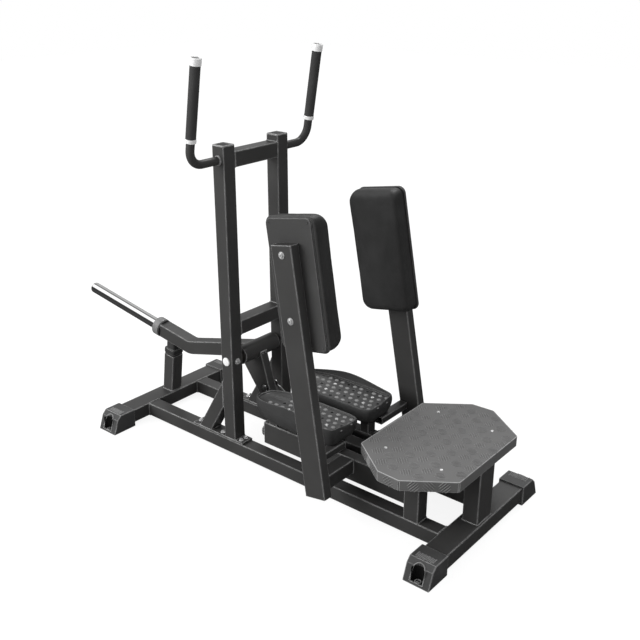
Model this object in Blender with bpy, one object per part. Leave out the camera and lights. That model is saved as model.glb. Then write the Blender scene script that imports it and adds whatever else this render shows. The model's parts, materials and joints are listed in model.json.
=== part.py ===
"""Standing hip abductor machine: plate-loaded lever, two swinging leg arms with pads and pedals.

Blender 4.5, metres, +Z up. The user faces -X, so the user's left is -Y.
X is counted from the middle of the base frame, and the machine empty moves all of it, so that
the origin lies under the middle of the whole machine.
"""

import math

import bmesh
import bpy
from mathutils import Matrix, Vector

# Fits
GAP = 0.0003
RUNNING_GAP = 0.0004
WELD = 0.001
FLOOR_GAP = 0.0145

# Square tube
TUBE = 0.060
WALL = 0.003
CORNER = 0.004

# Base frame
TRACK_Y = 0.147
BEAM_X = 0.813
BEAM_WIDTH = 0.092
BEAM_HALF_LENGTH = 0.345
CAP_COVER = 0.079
CAP_PROUD = 0.038
CAP_SHELL = 0.007
CAP_LEAN = 0.023
CAP_BEVEL = 0.0185
CAP_EDGE = 0.003
CAP_FIT = 0.0003
CAP_RECESS_RADIUS = 0.0245
CAP_RECESS_WALL = 0.0045
CAP_RECESS_SILL = 0.010
MID_CROSS_X = 0.190
VENT_RADIUS = 0.003

# Uprights, their plates and braces
UPRIGHT_X = -0.2525
UPRIGHT_TOP = 1.300
FOOT_PLATE = 0.008
FOOT_PLATE_FRONT = 0.040
FOOT_PLATE_REAR = 0.190
BRACE_FOOT_X = -0.400
BRACE_ANGLE = math.radians(59.0)
TOP_BAR_DROP = 0.055
MID_BAR_Z = 0.570
PLUG_HEAD = 0.003
PLUG_STEM = 0.030
PLUG_WALL = 0.0025
PLUG_FIT = 0.0004

# Handles
HANDLE_DROP = 0.053
HANDLE_Y = 0.320
HANDLE_TUBE = 0.016
HANDLE_WALL = 0.0025
HANDLE_BEND = 0.062
HANDLE_TILT = math.radians(9.5)
GRIP_START = 0.104
GRIP_LENGTH = 0.255
GRIP_RADIUS = 0.0192
RING_LENGTH = 0.014
RING_RADIUS = 0.0208
END_CAP_LENGTH = 0.027
END_CAP_RADIUS = 0.0212
END_CAP_TOP = 0.004

# Weight lever
PIVOT_Z = 0.434
AXLE_RADIUS = 0.0125
AXLE_CAP_RADIUS = 0.018
AXLE_CAP_LENGTH = 0.007
SLEEVE_RADIUS = 0.037
SLEEVE_WALL = 0.005
SLEEVE_SIDE_GAP = 0.017
BUSH_LENGTH = 0.030
BUSH_NOSE_RADIUS = 0.020
BUSH_SIDE_GAP = 0.002
COPE_GAP = 0.0006
LEVER_DROP = math.radians(14.6)
LEVER_RISE = math.radians(9.7)
LEVER_KNEE = 0.4055
LEVER_AFTER_KNEE = 0.190
LEVER_BEND = 0.085
COLLAR_RADIUS = 0.042
COLLAR_LENGTH = 0.042
HORN_RADIUS = 0.025
HORN_WALL = 0.004
HORN_LENGTH = 0.467
HORN_ROUND = 0.008
CRANK_DROP = math.radians(66.0)
CRANK_REACH = 0.165
CRANK_WIDTH = 0.040
CRANK_PIN_INSET = 0.036
CRANK_FRONT_DROP = math.radians(73.7)
CRANK_FRONT_OFFSET = 0.036
CRANK_REAR_DROP = math.radians(53.2)
CRANK_REAR_OFFSET = 0.0956
CRANK_EDGE = 0.003
CRANK_POCKET_START = 0.042

# Stop under the lever
POST_TILT = math.radians(8.0)
POST_FOOT_X = -0.808
BUMPER_HEIGHT = 0.068
BUMPER_WIDTH = 0.050
BUMPER_CORNER = 0.010
BUMPER_CHAMFER = 0.004
BUMPER_LIP_WIDTH = 0.064
BUMPER_LIP_HEIGHT = 0.008
BUMPER_GAP = 0.0005

# Spine and leg pivots
SPINE_Z = 0.124
SPINE_REAR_X = -0.1115
SPINE_STAND_WIDTH = 0.048
FRONT_LEG_WIDTH = 0.098
PLATE_LEG_DEPTH = 0.063
PIVOT_PLATE = 0.010
PIVOT_PLATE_RIM = 0.026
LEG_PIVOT_Y = 0.095
LEG_PIVOT_Z = 0.137
SHAFT_RADIUS = 0.010
SHAFT_NUT_RADIUS = 0.016
SHAFT_NUT_LENGTH = 0.009

# Step
STEP_TOP = 0.329
STEP_SHEET = 0.003
STEP_SKIRT = 0.040
STEP_OUTLINE = (
    (0.442, 0.200),
    (0.597, 0.314),
    (0.688, 0.318),
    (0.852, 0.200),
)
STEP_LEG_X = 0.6495

# Leg arms
ARM_FOOT_X = 0.3861
ARM_FOOT_Y = 0.3359
ARM_FOOT_Z = 0.1283
ARM_TILT = math.radians(10.0)
ARM_LEAN = math.radians(0.96)
ARM_WIDTH = 0.092
ARM_DEPTH = 0.042
ARM_LENGTH = 0.937
LEG_BEAM_WIDTH = 0.050
LEG_BEAM_HEIGHT = 0.097
LEG_BEAM_REAR_GAP = 0.0015
LEG_BEAM_FRONT_X = 0.600
LEG_END_PLATE = 0.006
CROSS_X = 0.320

# Thigh pads
PAD_ABOVE_ARM = 0.093
PAD_LENGTH = 0.485
PAD_WIDTH = 0.222
PAD_OFFSET = 0.006
BOARD_THICKNESS = 0.018
BOARD_CORNER = 0.028
BOARD_INSET = 0.003
CUSHION_THICKNESS = 0.076
CUSHION_CROWN = 0.004
CUSHION_BOX = 0.028
CUSHION_EDGE = 0.014
CUSHION_END = 0.034
CUSHION_CORNER = 0.032
CUSHION_DRAW = 0.004
PAD_BOLT_DROPS = (("lower", 0.266), ("upper", 0.034))
PAD_BOLT_RADIUS = 0.013
PAD_BOLT_HEAD = 0.007

# Pedals
PEDAL_X = 0.094
PEDAL_Y = 0.115
PEDAL_HALF_LENGTH = 0.216
PEDAL_HALF_WIDTH = 0.0895
PEDAL_BOTTOM = 0.2485
PEDAL_DECK = 0.3065
PEDAL_RIM = 0.3125
PEDAL_WALL_RISE = 0.034
PEDAL_TOE_POWER = 3.4
PEDAL_HEEL_POWER = 9.0
PEDAL_SHEET = 0.004
PEDAL_TAPER = 0.014
TOE_STAND_X = -0.0615
HEEL_STAND_X = 0.2555
STAND_DEPTH = 0.040
PEDAL_TIE_X = 0.290
PEDAL_TIE_WIDTH = 0.038
PEDAL_TIE_HEIGHT = 0.030

# Link rods from the crank to the leg beams
LINK_BALL_Y = 0.034
LINK_STUD = (-0.030, 0.053, 0.165)
LINK_ROD_RADIUS = 0.006
LINK_BALL_RADIUS = 0.008
LINK_NECK_RADIUS = 0.004
LINK_EYE_WALL = 0.0045
LINK_EYE_WIDTH = 0.007
LINK_OPEN_GAP = 0.0026
LINK_NUT_RADIUS = 0.0075
LINK_NUT_LENGTH = 0.004

SIDES = (("left", -1), ("right", 1))
base_top = FLOOR_GAP + TUBE
beam_inner_x = BEAM_X - BEAM_WIDTH / 2
foot_top = base_top + GAP + FOOT_PLATE
upright_inner_y = TRACK_Y - TUBE / 2
upright_outer_y = TRACK_Y + TUBE / 2
front_leg_x = STEP_OUTLINE[-1][0] - STEP_SHEET - GAP - PLATE_LEG_DEPTH / 2
cap_inner_y = BEAM_HALF_LENGTH - CAP_COVER
cap_outer_y = BEAM_HALF_LENGTH + CAP_PROUD
pad_top = ARM_LENGTH + PAD_ABOVE_ARM
handle_z = UPRIGHT_TOP - HANDLE_DROP


def clear_scene():
    for obj in list(bpy.data.objects):
        bpy.data.objects.remove(obj, do_unlink=True)


def make_material(name, color, roughness, metallic=0.0):
    material = bpy.data.materials.new(name)
    material.use_nodes = True
    shader = material.node_tree.nodes["Principled BSDF"]
    shader.inputs["Base Color"].default_value = (*color, 1.0)
    shader.inputs["Roughness"].default_value = roughness
    shader.inputs["Metallic"].default_value = metallic
    return material


def add_empty(name, place, parent=None):
    empty = bpy.data.objects.new(name, None)
    bpy.context.scene.collection.objects.link(empty)
    empty.parent = parent
    empty.location = Vector(place) - (body_place(parent) if parent else Vector())
    empty["place"] = tuple(place)
    return empty


def body_place(empty):
    return Vector(empty["place"])


def add_object(name, verts, faces, finish, body, smooth=False):
    """One closed mesh given in machine coordinates, hung from its body's empty."""
    mesh = bpy.data.meshes.new(name)
    mesh.from_pydata([tuple(v) for v in verts], [], faces)
    mesh.validate()
    bm = bmesh.new()
    bm.from_mesh(mesh)
    bmesh.ops.recalc_face_normals(bm, faces=bm.faces)
    bm.to_mesh(mesh)
    bm.free()
    if smooth:
        mesh.shade_smooth()
    obj = bpy.data.objects.new(name, mesh)
    bpy.context.scene.collection.objects.link(obj)
    color, roughness, metallic = FINISHES[finish]
    obj.data.materials.append(make_material(name, color, roughness, metallic))
    obj.parent = body
    centre = sum((Vector(v) for v in verts), Vector()) / len(verts)
    mesh.transform(Matrix.Translation(-centre))
    obj.location = centre - body_place(body)
    return obj


def rectangle(width, height, radius, steps=3, divisions=1):
    """A rounded rectangle as (side, up) pairs, anticlockwise. Divisions cut its upright sides."""
    half_w = width / 2 - radius
    half_h = height / 2 - radius
    points = []
    for corner in range(4):
        centre_u = half_w if corner in (0, 3) else -half_w
        centre_v = half_h if corner in (0, 1) else -half_h
        for step in range(steps + 1):
            angle = math.pi / 2 * (corner + step / steps)
            points.append((centre_u + radius * math.cos(angle), centre_v + radius * math.sin(angle)))
        if corner in (1, 3):
            side = -width / 2 if corner == 1 else width / 2
            start = half_h if corner == 1 else -half_h
            for cut in range(1, divisions):
                points.append((side, start - 2 * start * cut / divisions))
    return points


def circle(radius, sides):
    turn = 2 * math.pi / sides
    return [(radius * math.cos(turn * i), radius * math.sin(turn * i)) for i in range(sides)]


def ring_faces(first, second, count):
    return [
        (first + i, first + (i + 1) % count, second + (i + 1) % count, second + i) for i in range(count)
    ]


def sweep_rings(path, profile, side, start_normal, end_normal, start_reach=None):
    """Rings of a profile carried along a flat path, mitred at its corners."""
    path = [Vector(p) for p in path]
    side = Vector(side).normalized()
    runs = [(b - a).normalized() for a, b in zip(path, path[1:])]
    rings = []
    for i, point in enumerate(path):
        run = runs[min(i, len(runs) - 1)]
        if i == 0:
            normal = Vector(start_normal) if start_normal else run
        elif i == len(path) - 1:
            normal = Vector(end_normal) if end_normal else run
        else:
            normal = (runs[i - 1] + run).normalized()
            run = runs[i - 1]
        up = run.cross(side).normalized()
        ring = []
        for u, v in profile:
            offset = side * u + up * v
            along = -offset.dot(normal) / run.dot(normal)
            if i == 0 and start_reach:
                along = start_reach(v)
            ring.append(point + offset + run * along)
        rings.append(ring)
    return rings


def sweep(path, profile, side, bore=None, start_normal=None, end_normal=None, start_reach=None, end_wall=0.0):
    """A closed solid along a path: a bar, an open tube (bore) or a tube closed at its far end (end_wall)."""
    count = len(profile)
    outer = sweep_rings(path, profile, side, start_normal, end_normal, start_reach)
    verts = [v for ring in outer for v in ring]
    faces = []
    for i in range(len(outer) - 1):
        faces += ring_faces(i * count, (i + 1) * count, count)
    last = (len(outer) - 1) * count
    if bore is None:
        faces.append(tuple(reversed(range(count))))
        faces.append(tuple(range(last, last + count)))
        return verts, faces
    path = [Vector(p) for p in path]
    if end_wall:
        path[-1] = path[-1] - (path[-1] - path[-2]).normalized() * end_wall
    inner = sweep_rings(path, bore, side, start_normal, end_normal, start_reach)
    base = len(verts)
    verts += [v for ring in inner for v in ring]
    for i in range(len(inner) - 1):
        faces += ring_faces(base + (i + 1) * count, base + i * count, count)
    faces += ring_faces(base, 0, count)
    if end_wall:
        faces.append(tuple(range(last, last + count)))
        faces.append(tuple(reversed(range(base + last, base + last + count))))
    else:
        faces += ring_faces(last, base + last, count)
    return verts, faces


def square_tube(path, side, width=TUBE, depth=TUBE, wall=WALL, **ends):
    """A rounded rectangular tube. Width lies along side, depth across it."""
    outer = rectangle(width, depth, CORNER)
    inner = rectangle(width - 2 * wall, depth - 2 * wall, CORNER - wall)
    return sweep(path, outer, side, bore=inner, **ends)


def round_tube(path, side, radius, bore_radius, sides=24, **ends):
    return sweep(path, circle(radius, sides), side, bore=circle(bore_radius, sides), **ends)


def lathe(start, axis, outline, sides=24):
    """A solid of revolution: outline is (distance along axis, radius), closed on the axis or as a ring."""
    start = Vector(start)
    axis = Vector(axis).normalized()
    across = axis.orthogonal().normalized()
    other = axis.cross(across)
    verts = []
    for along, radius in outline:
        for i in range(sides):
            turn = 2 * math.pi * i / sides
            arm = across * math.cos(turn) + other * math.sin(turn)
            verts.append(start + axis * along + arm * radius)
    return verts, sides


def turned(start, axis, outline, sides=24):
    """A closed turned bar whose outline runs from one flat end to the other."""
    verts, sides = lathe(start, axis, outline, sides)
    faces = []
    for i in range(len(outline) - 1):
        faces += ring_faces(i * sides, (i + 1) * sides, sides)
    faces.append(tuple(reversed(range(sides))))
    faces.append(tuple(range((len(outline) - 1) * sides, len(outline) * sides)))
    return verts, faces


def turned_ring(start, axis, outline, sides=24):
    """A closed ring whose outline is a loop that stays off the axis."""
    verts, sides = lathe(start, axis, outline, sides)
    faces = []
    count = len(outline)
    for i in range(count):
        faces += ring_faces(i * sides, ((i + 1) % count) * sides, sides)
    return verts, faces


def slab(outline, low, high, axis="z"):
    """A flat plate: outline pairs lie across the axis, from low to high along it."""
    order = {"x": (1, 2, 0), "y": (0, 2, 1), "z": (0, 1, 2)}[axis]
    verts = []
    for level in (low, high):
        for a, b in outline:
            point = [0.0, 0.0, 0.0]
            point[order[0]] = a
            point[order[1]] = b
            point[order[2]] = level
            verts.append(Vector(point))
    count = len(outline)
    faces = ring_faces(0, count, count)
    faces.append(tuple(range(count)))
    faces.append(tuple(range(count, 2 * count)))
    return verts, faces


def block(low, high):
    outline = ((low[0], low[1]), (high[0], low[1]), (high[0], high[1]), (low[0], high[1]))
    return slab(outline, low[2], high[2])


def shift_outline(outline, across, up):
    return [(a + across, b + up) for a, b in outline]


def cut_with(obj, name, solid, body):
    """A hidden cutter taken out of an object by an exact Boolean."""
    cutter = add_object(name, solid[0], solid[1], "cutter", body)
    cutter.hide_render = True
    cutter.display_type = "WIRE"
    modifier = obj.modifiers.new(name, "BOOLEAN")
    modifier.operation = "DIFFERENCE"
    modifier.solver = "EXACT"
    modifier.object = cutter
    return cutter


def unite(obj, name, solid, body):
    """Joins another solid to an object by an exact Boolean."""
    cutter = cut_with(obj, name, solid, body)
    obj.modifiers[name].operation = "UNION"
    return cutter


def weld(name, solids, finish, body):
    """One object from several solids that reach a little way into each other."""
    obj = add_object(name, *solids[0], finish, body)
    for i, solid in enumerate(solids[1:], 1):
        unite(obj, name + "_weld_" + str(i), solid, body)
    return obj


def bend_path(before, corner, after, radius, steps=6):
    """Points of a path whose corner is rounded by an arc."""
    before, corner, after = Vector(before), Vector(corner), Vector(after)
    first = (before - corner).normalized()
    second = (after - corner).normalized()
    half = first.angle(second) / 2
    reach = radius / math.tan(half)
    centre = corner + (first + second).normalized() * (radius / math.sin(half))
    start = corner + first * reach - centre
    turn = math.pi - 2 * half
    normal = start.cross(corner + second * reach - centre).normalized()
    points = [before]
    for i in range(steps + 1):
        points.append(centre + Matrix.Rotation(turn * i / steps, 3, normal) @ start)
    points.append(after)
    return points


# Base frame
def build_crossbeams(body):
    for name, sign in (("front", 1), ("rear", -1)):
        ends = ((sign * BEAM_X, -BEAM_HALF_LENGTH, 0), (sign * BEAM_X, BEAM_HALF_LENGTH, 0))
        path = [Vector(p) + Vector((0, 0, FLOOR_GAP + TUBE / 2)) for p in ends]
        tube = square_tube(path, (1, 0, 0), width=BEAM_WIDTH)
        add_object(name + "_crossbeam", *tube, "frame", body)


def build_base_rails(body):
    reach = beam_inner_x - GAP
    for side, sign in SIDES:
        y = sign * TRACK_Y
        z = FLOOR_GAP + TUBE / 2
        tube = square_tube(((-reach, y, z), (reach, y, z)), (0, 1, 0))
        add_object(side + "_base_rail", *tube, "frame", body)


def cap_outline(sign):
    """The cap's side view as (y, z) pairs: its end leans back to a bevel below the top."""
    top = base_top + CAP_SHELL
    lean_y = cap_outer_y - CAP_LEAN
    points = (
        (cap_inner_y, 0.0), (cap_outer_y, 0.0), (lean_y, top - CAP_BEVEL),
        (lean_y - CAP_BEVEL, top), (cap_inner_y, top),
    )
    return [(sign * y, z) for y, z in points]


def build_foot_caps(body):
    half = BEAM_WIDTH / 2 + CAP_SHELL
    for end, along in (("front", 1), ("rear", -1)):
        for side, sign in SIDES:
            name = end + "_" + side + "_foot_cap"
            x = along * BEAM_X
            shape = slab(cap_outline(sign), x - half, x + half, "x")
            cap = add_object(name, *shape, "rubber", body)
            bevel = cap.modifiers.new("edge", "BEVEL")
            bevel.width = CAP_EDGE
            bevel.segments = 2
            bevel.limit_method = "ANGLE"
            bevel.angle_limit = math.radians(50)
            fit = BEAM_WIDTH / 2 + CAP_FIT
            low_y, high_y = sorted((sign * (cap_inner_y - 0.02), sign * (BEAM_HALF_LENGTH + GAP)))
            pocket = block(
                (x - fit, low_y, FLOOR_GAP - CAP_FIT), (x + fit, high_y, base_top + CAP_FIT)
            )
            cut_with(cap, name + "_pocket", pocket, body)
            cut_with(cap, name + "_recess", cap_recess(x, sign), body)


def cap_recess(x, sign):
    """The upright round-backed recess in a cap's end. The leaning end gives it its arched mouth."""
    back = BEAM_HALF_LENGTH + CAP_RECESS_WALL + CAP_RECESS_RADIUS
    outline = []
    for step in range(13):
        turn = math.pi * step / 12
        across = x + CAP_RECESS_RADIUS * math.cos(turn)
        outline.append((across, sign * (back - CAP_RECESS_RADIUS * math.sin(turn))))
    reach = sign * (cap_outer_y + CAP_PROUD)
    outline += [(x - CAP_RECESS_RADIUS, reach), (x + CAP_RECESS_RADIUS, reach)]
    return slab(outline, CAP_RECESS_SILL, base_top + 2 * CAP_SHELL)


# Uprights
def build_uprights(body):
    """Each upright is welded to the long plate that its brace also stands on."""
    for side, sign in SIDES:
        y = sign * TRACK_Y
        low = (UPRIGHT_X - TUBE / 2 - FOOT_PLATE_REAR, y - TUBE / 2, base_top + GAP)
        high = (UPRIGHT_X + TUBE / 2 + FOOT_PLATE_FRONT, y + TUBE / 2, foot_top)
        path = ((UPRIGHT_X, y, foot_top - WELD), (UPRIGHT_X, y, UPRIGHT_TOP))
        solids = [square_tube(path, (0, 1, 0)), block(low, high)]
        upright = weld(side + "_upright", solids, "frame", body)
        hole = turned(
            (UPRIGHT_X, y - TUBE, PIVOT_Z), (0, 1, 0),
            ((0.0, AXLE_RADIUS + RUNNING_GAP), (2 * TUBE, AXLE_RADIUS + RUNNING_GAP)),
        )
        cut_with(upright, side + "_axle_hole", hole, body)


def build_braces(body):
    run = Vector((math.cos(BRACE_ANGLE), 0, math.sin(BRACE_ANGLE)))
    for side, sign in SIDES:
        foot = Vector((BRACE_FOOT_X, sign * TRACK_Y, foot_top + GAP))
        reach = (UPRIGHT_X - TUBE / 2 - GAP - BRACE_FOOT_X) / run.x
        ends = {"start_normal": (0, 0, 1), "end_normal": (1, 0, 0)}
        tube = square_tube((foot, foot + run * reach), (0, 1, 0), **ends)
        add_object(side + "_brace", *tube, "frame", body)


def build_crossbars(body):
    y = upright_inner_y - GAP
    for name, z in (("top_crossbar", UPRIGHT_TOP - TOP_BAR_DROP), ("mid_crossbar", MID_BAR_Z)):
        tube = square_tube(((UPRIGHT_X, -y, z), (UPRIGHT_X, y, z)), (1, 0, 0))
        add_object(name, *tube, "frame", body)


def build_top_plugs(body):
    for side, sign in SIDES:
        y = sign * TRACK_Y
        stem = TUBE / 2 - WALL - PLUG_FIT
        tip = UPRIGHT_TOP - PLUG_STEM
        top = UPRIGHT_TOP + GAP
        outer = rectangle(2 * stem, 2 * stem, CORNER - WALL)
        inner = rectangle(2 * (stem - PLUG_WALL), 2 * (stem - PLUG_WALL), CORNER - WALL)
        head = rectangle(TUBE - 0.001, TUBE - 0.001, CORNER)
        plug = plug_solid(UPRIGHT_X, y, outer, inner, head, (tip, top, top + PLUG_HEAD))
        add_object(side + "_top_plug", *plug, "rubber", body)


def plug_solid(x, y, stem, bore, head, levels):
    """A hollow stem, open below, under a thin square head."""
    tip, seat, top = levels
    count = len(stem)
    rings = ((bore, seat), (bore, tip), (stem, tip), (stem, seat), (head, seat), (head, top))
    verts = [Vector((x + a, y + b, z)) for ring, z in rings for a, b in ring]
    faces = []
    for i in range(len(rings) - 1):
        faces += ring_faces(i * count, (i + 1) * count, count)
    faces.append(tuple(range(count)))
    faces.append(tuple(range(5 * count, 6 * count)))
    return verts, faces


# Handles
def handle_frame(sign):
    """Start of a handle, the corner it would have, and the way its grip points."""
    start = Vector((UPRIGHT_X, sign * (upright_outer_y + GAP), handle_z))
    corner = Vector((UPRIGHT_X, sign * HANDLE_Y, handle_z))
    up = Vector((math.sin(HANDLE_TILT), 0, math.cos(HANDLE_TILT)))
    return start, corner, up


def build_handles(body):
    """Bent tubes with a turned shoulder under each grip and a cap on each end."""
    for side, sign in SIDES:
        start, corner, up = handle_frame(sign)
        normal = (corner - start).cross(up)
        grip_end = GRIP_START + GRIP_LENGTH
        tube_end = corner + up * (grip_end + END_CAP_LENGTH - END_CAP_TOP - GAP)
        path = bend_path(start, corner, tube_end, HANDLE_BEND, 7)
        bore = HANDLE_TUBE - HANDLE_WALL
        tube = round_tube(path, normal, HANDLE_TUBE, bore, 20)
        edge = 0.002
        hole = HANDLE_TUBE - WELD
        ring = (
            (0, hole), (0, RING_RADIUS - edge), (edge, RING_RADIUS),
            (RING_LENGTH - edge, RING_RADIUS), (RING_LENGTH, RING_RADIUS - edge), (RING_LENGTH, hole),
        )
        shoulder = turned_ring(corner + up * (GRIP_START - GAP - RING_LENGTH), up, ring, 24)
        weld(side + "_handle", [tube, shoulder], "frame", body)
        hole = HANDLE_TUBE + GAP
        grip = ((0, hole), (0, GRIP_RADIUS), (GRIP_LENGTH, GRIP_RADIUS), (GRIP_LENGTH, hole))
        solid = turned_ring(corner + up * GRIP_START, up, grip, 24)
        add_object(side + "_hand_grip", *solid, "rubber", body)
        cap = end_cap(corner + up * (grip_end + GAP), up, hole)
        add_object(side + "_handle_cap", *cap, "silver", body)


def end_cap(start, up, hole):
    """A cup over the end of a handle tube."""
    length = END_CAP_LENGTH - GAP
    depth = length - END_CAP_TOP
    edge = 0.003
    outline = (
        (depth, hole), (0, hole), (0, END_CAP_RADIUS - edge / 2), (edge, END_CAP_RADIUS),
        (length - edge, END_CAP_RADIUS), (length, END_CAP_RADIUS - edge),
    )
    return turned(start, up, outline, 24)


# Weight lever
def knee_points():
    """Pivot, knee and horn end of the lever, in the middle plane."""
    pivot = Vector((UPRIGHT_X, 0, PIVOT_Z))
    down = Vector((-math.cos(LEVER_DROP), 0, -math.sin(LEVER_DROP)))
    rise = Vector((-math.cos(LEVER_RISE), 0, math.sin(LEVER_RISE)))
    knee = pivot + down * LEVER_KNEE
    return pivot, down, knee, rise, knee + rise * LEVER_AFTER_KNEE


def cope(radius):
    """How far a flat tube end is cut back at height v to sit on a round tube."""
    return lambda v: math.sqrt(radius * radius - v * v)


def build_weight_lever(body):
    pivot, down, knee, rise, end = knee_points()
    path = bend_path(pivot, knee, end, LEVER_BEND, 5)
    outer = rectangle(TUBE, TUBE, CORNER, 3, 8)
    inner = rectangle(TUBE - 2 * WALL, TUBE - 2 * WALL, CORNER - WALL, 3, 8)
    seat = cope(SLEEVE_RADIUS + COPE_GAP)
    tube = sweep(path, outer, (0, 1, 0), bore=inner, start_reach=seat)
    add_object("weight_lever_tube", *tube, "frame", body)
    half = upright_inner_y - SLEEVE_SIDE_GAP
    bore = SLEEVE_RADIUS - SLEEVE_WALL
    ring = ((0, bore), (0, SLEEVE_RADIUS), (2 * half, SLEEVE_RADIUS), (2 * half, bore))
    sleeve = turned_ring(pivot - Vector((0, half, 0)), (0, 1, 0), ring, 32)
    add_object("pivot_sleeve", *sleeve, "frame", body)
    for side, sign in SIDES:
        hole = AXLE_RADIUS + RUNNING_GAP
        nose = BUSH_SIDE_GAP - SLEEVE_SIDE_GAP
        ring = (
            (nose, hole), (nose, BUSH_NOSE_RADIUS), (0, BUSH_NOSE_RADIUS), (0, bore - GAP),
            (BUSH_LENGTH, bore - GAP), (BUSH_LENGTH, hole),
        )
        place = pivot + Vector((0, sign * half, 0))
        bush = turned_ring(place, (0, -sign, 0), ring, 32)
        add_object(side + "_sleeve_bush", *bush, "bronze", body)
    build_horn(body, end, rise)
    build_crank(body, pivot)


def build_horn(body, end, rise):
    edge = 0.003
    hole = HORN_RADIUS + GAP
    outline = (
        (0, hole), (0, COLLAR_RADIUS - edge), (edge, COLLAR_RADIUS),
        (COLLAR_LENGTH - edge, COLLAR_RADIUS), (COLLAR_LENGTH, COLLAR_RADIUS - edge), (COLLAR_LENGTH, hole),
    )
    collar = turned_ring(end + rise * GAP, rise, outline, 32)
    add_object("horn_collar", *collar, "steel", body)
    length = COLLAR_LENGTH + HORN_LENGTH
    bore = HORN_RADIUS - HORN_WALL
    outline = [(length - HORN_WALL, bore * 0.9), (0, bore), (0, HORN_RADIUS)]
    for step in range(5):
        turn = math.pi / 2 * step / 4
        along = length - HORN_ROUND + HORN_ROUND * math.sin(turn)
        outline.append((along, HORN_RADIUS - HORN_ROUND * (1 - math.cos(turn))))
    horn = turned(end + rise * GAP, rise, outline, 32)
    add_object("weight_horn", *horn, "chrome", body)


def crank_pin_place():
    """The middle of the pin that the link rods pull on, and the crank's own direction."""
    run = Vector((math.cos(CRANK_DROP), 0, -math.sin(CRANK_DROP)))
    return Vector((UPRIGHT_X, 0, PIVOT_Z)) + run * CRANK_REACH, run


def flat_line(drop, offset):
    """A line in the middle plane that falls forwards by drop and passes the pivot offset in front of it."""
    point = Vector((UPRIGHT_X, PIVOT_Z)) + Vector((math.sin(drop), math.cos(drop))) * offset
    return point, Vector((math.cos(drop), -math.sin(drop)))


def crossing(first, second):
    """Where two lines of the middle plane meet."""
    gap = second[0] - first[0]
    along = gap.cross(second[1]) / first[1].cross(second[1])
    return first[0] + first[1] * along


def crank_outlines():
    """The crank's side view, a box that narrows from sleeve and lever to the pin, and its pocket."""
    front = flat_line(CRANK_FRONT_DROP, CRANK_FRONT_OFFSET)
    rear = flat_line(CRANK_REAR_DROP, -CRANK_REAR_OFFSET)
    lever = flat_line(-LEVER_DROP, -TUBE / 2 - GAP)
    middle, run = flat_line(CRANK_DROP, 0)
    across = Vector((-run.y, run.x))
    tip = (middle + run * (CRANK_REACH + CRANK_PIN_INSET), across)
    outer = (front[0], crossing(front, tip), crossing(rear, tip), crossing(rear, lever), lever[0])
    front = flat_line(CRANK_FRONT_DROP, CRANK_FRONT_OFFSET - WALL)
    rear = flat_line(CRANK_REAR_DROP, WALL - CRANK_REAR_OFFSET)
    start = (middle + run * CRANK_POCKET_START, across)
    beyond = (tip[0] + run * CRANK_PIN_INSET, across)
    inner = (crossing(front, start), crossing(front, beyond), crossing(rear, beyond), crossing(rear, start))
    return outer, inner


def build_crank(body, pivot):
    pin, _ = crank_pin_place()
    outer, inner = crank_outlines()
    reach = CRANK_WIDTH / 2
    crank = add_object("crank_arm", *slab(outer, -reach, reach, "y"), "frame", body)
    bevel = crank.modifiers.new("edge", "BEVEL")
    bevel.width = CRANK_EDGE
    bevel.segments = 2
    bevel.limit_method = "ANGLE"
    bevel.angle_limit = math.radians(40)
    seat = SLEEVE_RADIUS + COPE_GAP
    sleeve = turned(pivot - Vector((0, CRANK_WIDTH, 0)), (0, 1, 0), ((0, seat), (2 * CRANK_WIDTH, seat)), 48)
    cut_with(crank, "crank_sleeve_seat", sleeve, body)
    cut_with(crank, "crank_pocket", slab(inner, WALL - reach, reach - WALL, "y"), body)
    fit = LINK_NECK_RADIUS + GAP
    hole = turned(pin - Vector((0, CRANK_WIDTH, 0)), (0, 1, 0), ((0, fit), (2 * CRANK_WIDTH, fit)), 16)
    cut_with(crank, "crank_pin_hole", hole, body)
    flange = CRANK_WIDTH / 2 + GAP
    half = [(0, LINK_NECK_RADIUS)]
    half += [(flange, LINK_NECK_RADIUS), (flange, LINK_NUT_RADIUS)]
    half += [(flange + LINK_NUT_LENGTH, LINK_NUT_RADIUS), (flange + LINK_NUT_LENGTH, LINK_NECK_RADIUS)]
    half += ball_outline(LINK_BALL_Y)
    outline = [(-along, radius) for along, radius in reversed(half[1:])] + half[1:]
    add_object("crank_pin", *turned(pin, (0, 1, 0), outline, 20), "steel", body)


def ball_outline(centre):
    """A ball on a neck: (distance, radius) pairs that start on the neck and end on a small flat."""
    start = math.asin(LINK_NECK_RADIUS / LINK_BALL_RADIUS)
    points = []
    for step in range(9):
        turn = start + (math.pi * 0.9 - start) * step / 8
        points.append((centre - LINK_BALL_RADIUS * math.cos(turn), LINK_BALL_RADIUS * math.sin(turn)))
    return points


# Link rods
def eye(place, axis, bore, width, around):
    """A ring eye at place, long enough along its axis to hold the ball."""
    rim = bore + LINK_EYE_WALL
    edge = 0.001
    outline = (
        (-width / 2, bore), (-width / 2, rim - edge), (-width / 2 + edge, rim),
        (width / 2 - edge, rim), (width / 2, rim - edge), (width / 2, bore),
    )
    return turned_ring(place, axis, outline, around)


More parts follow.
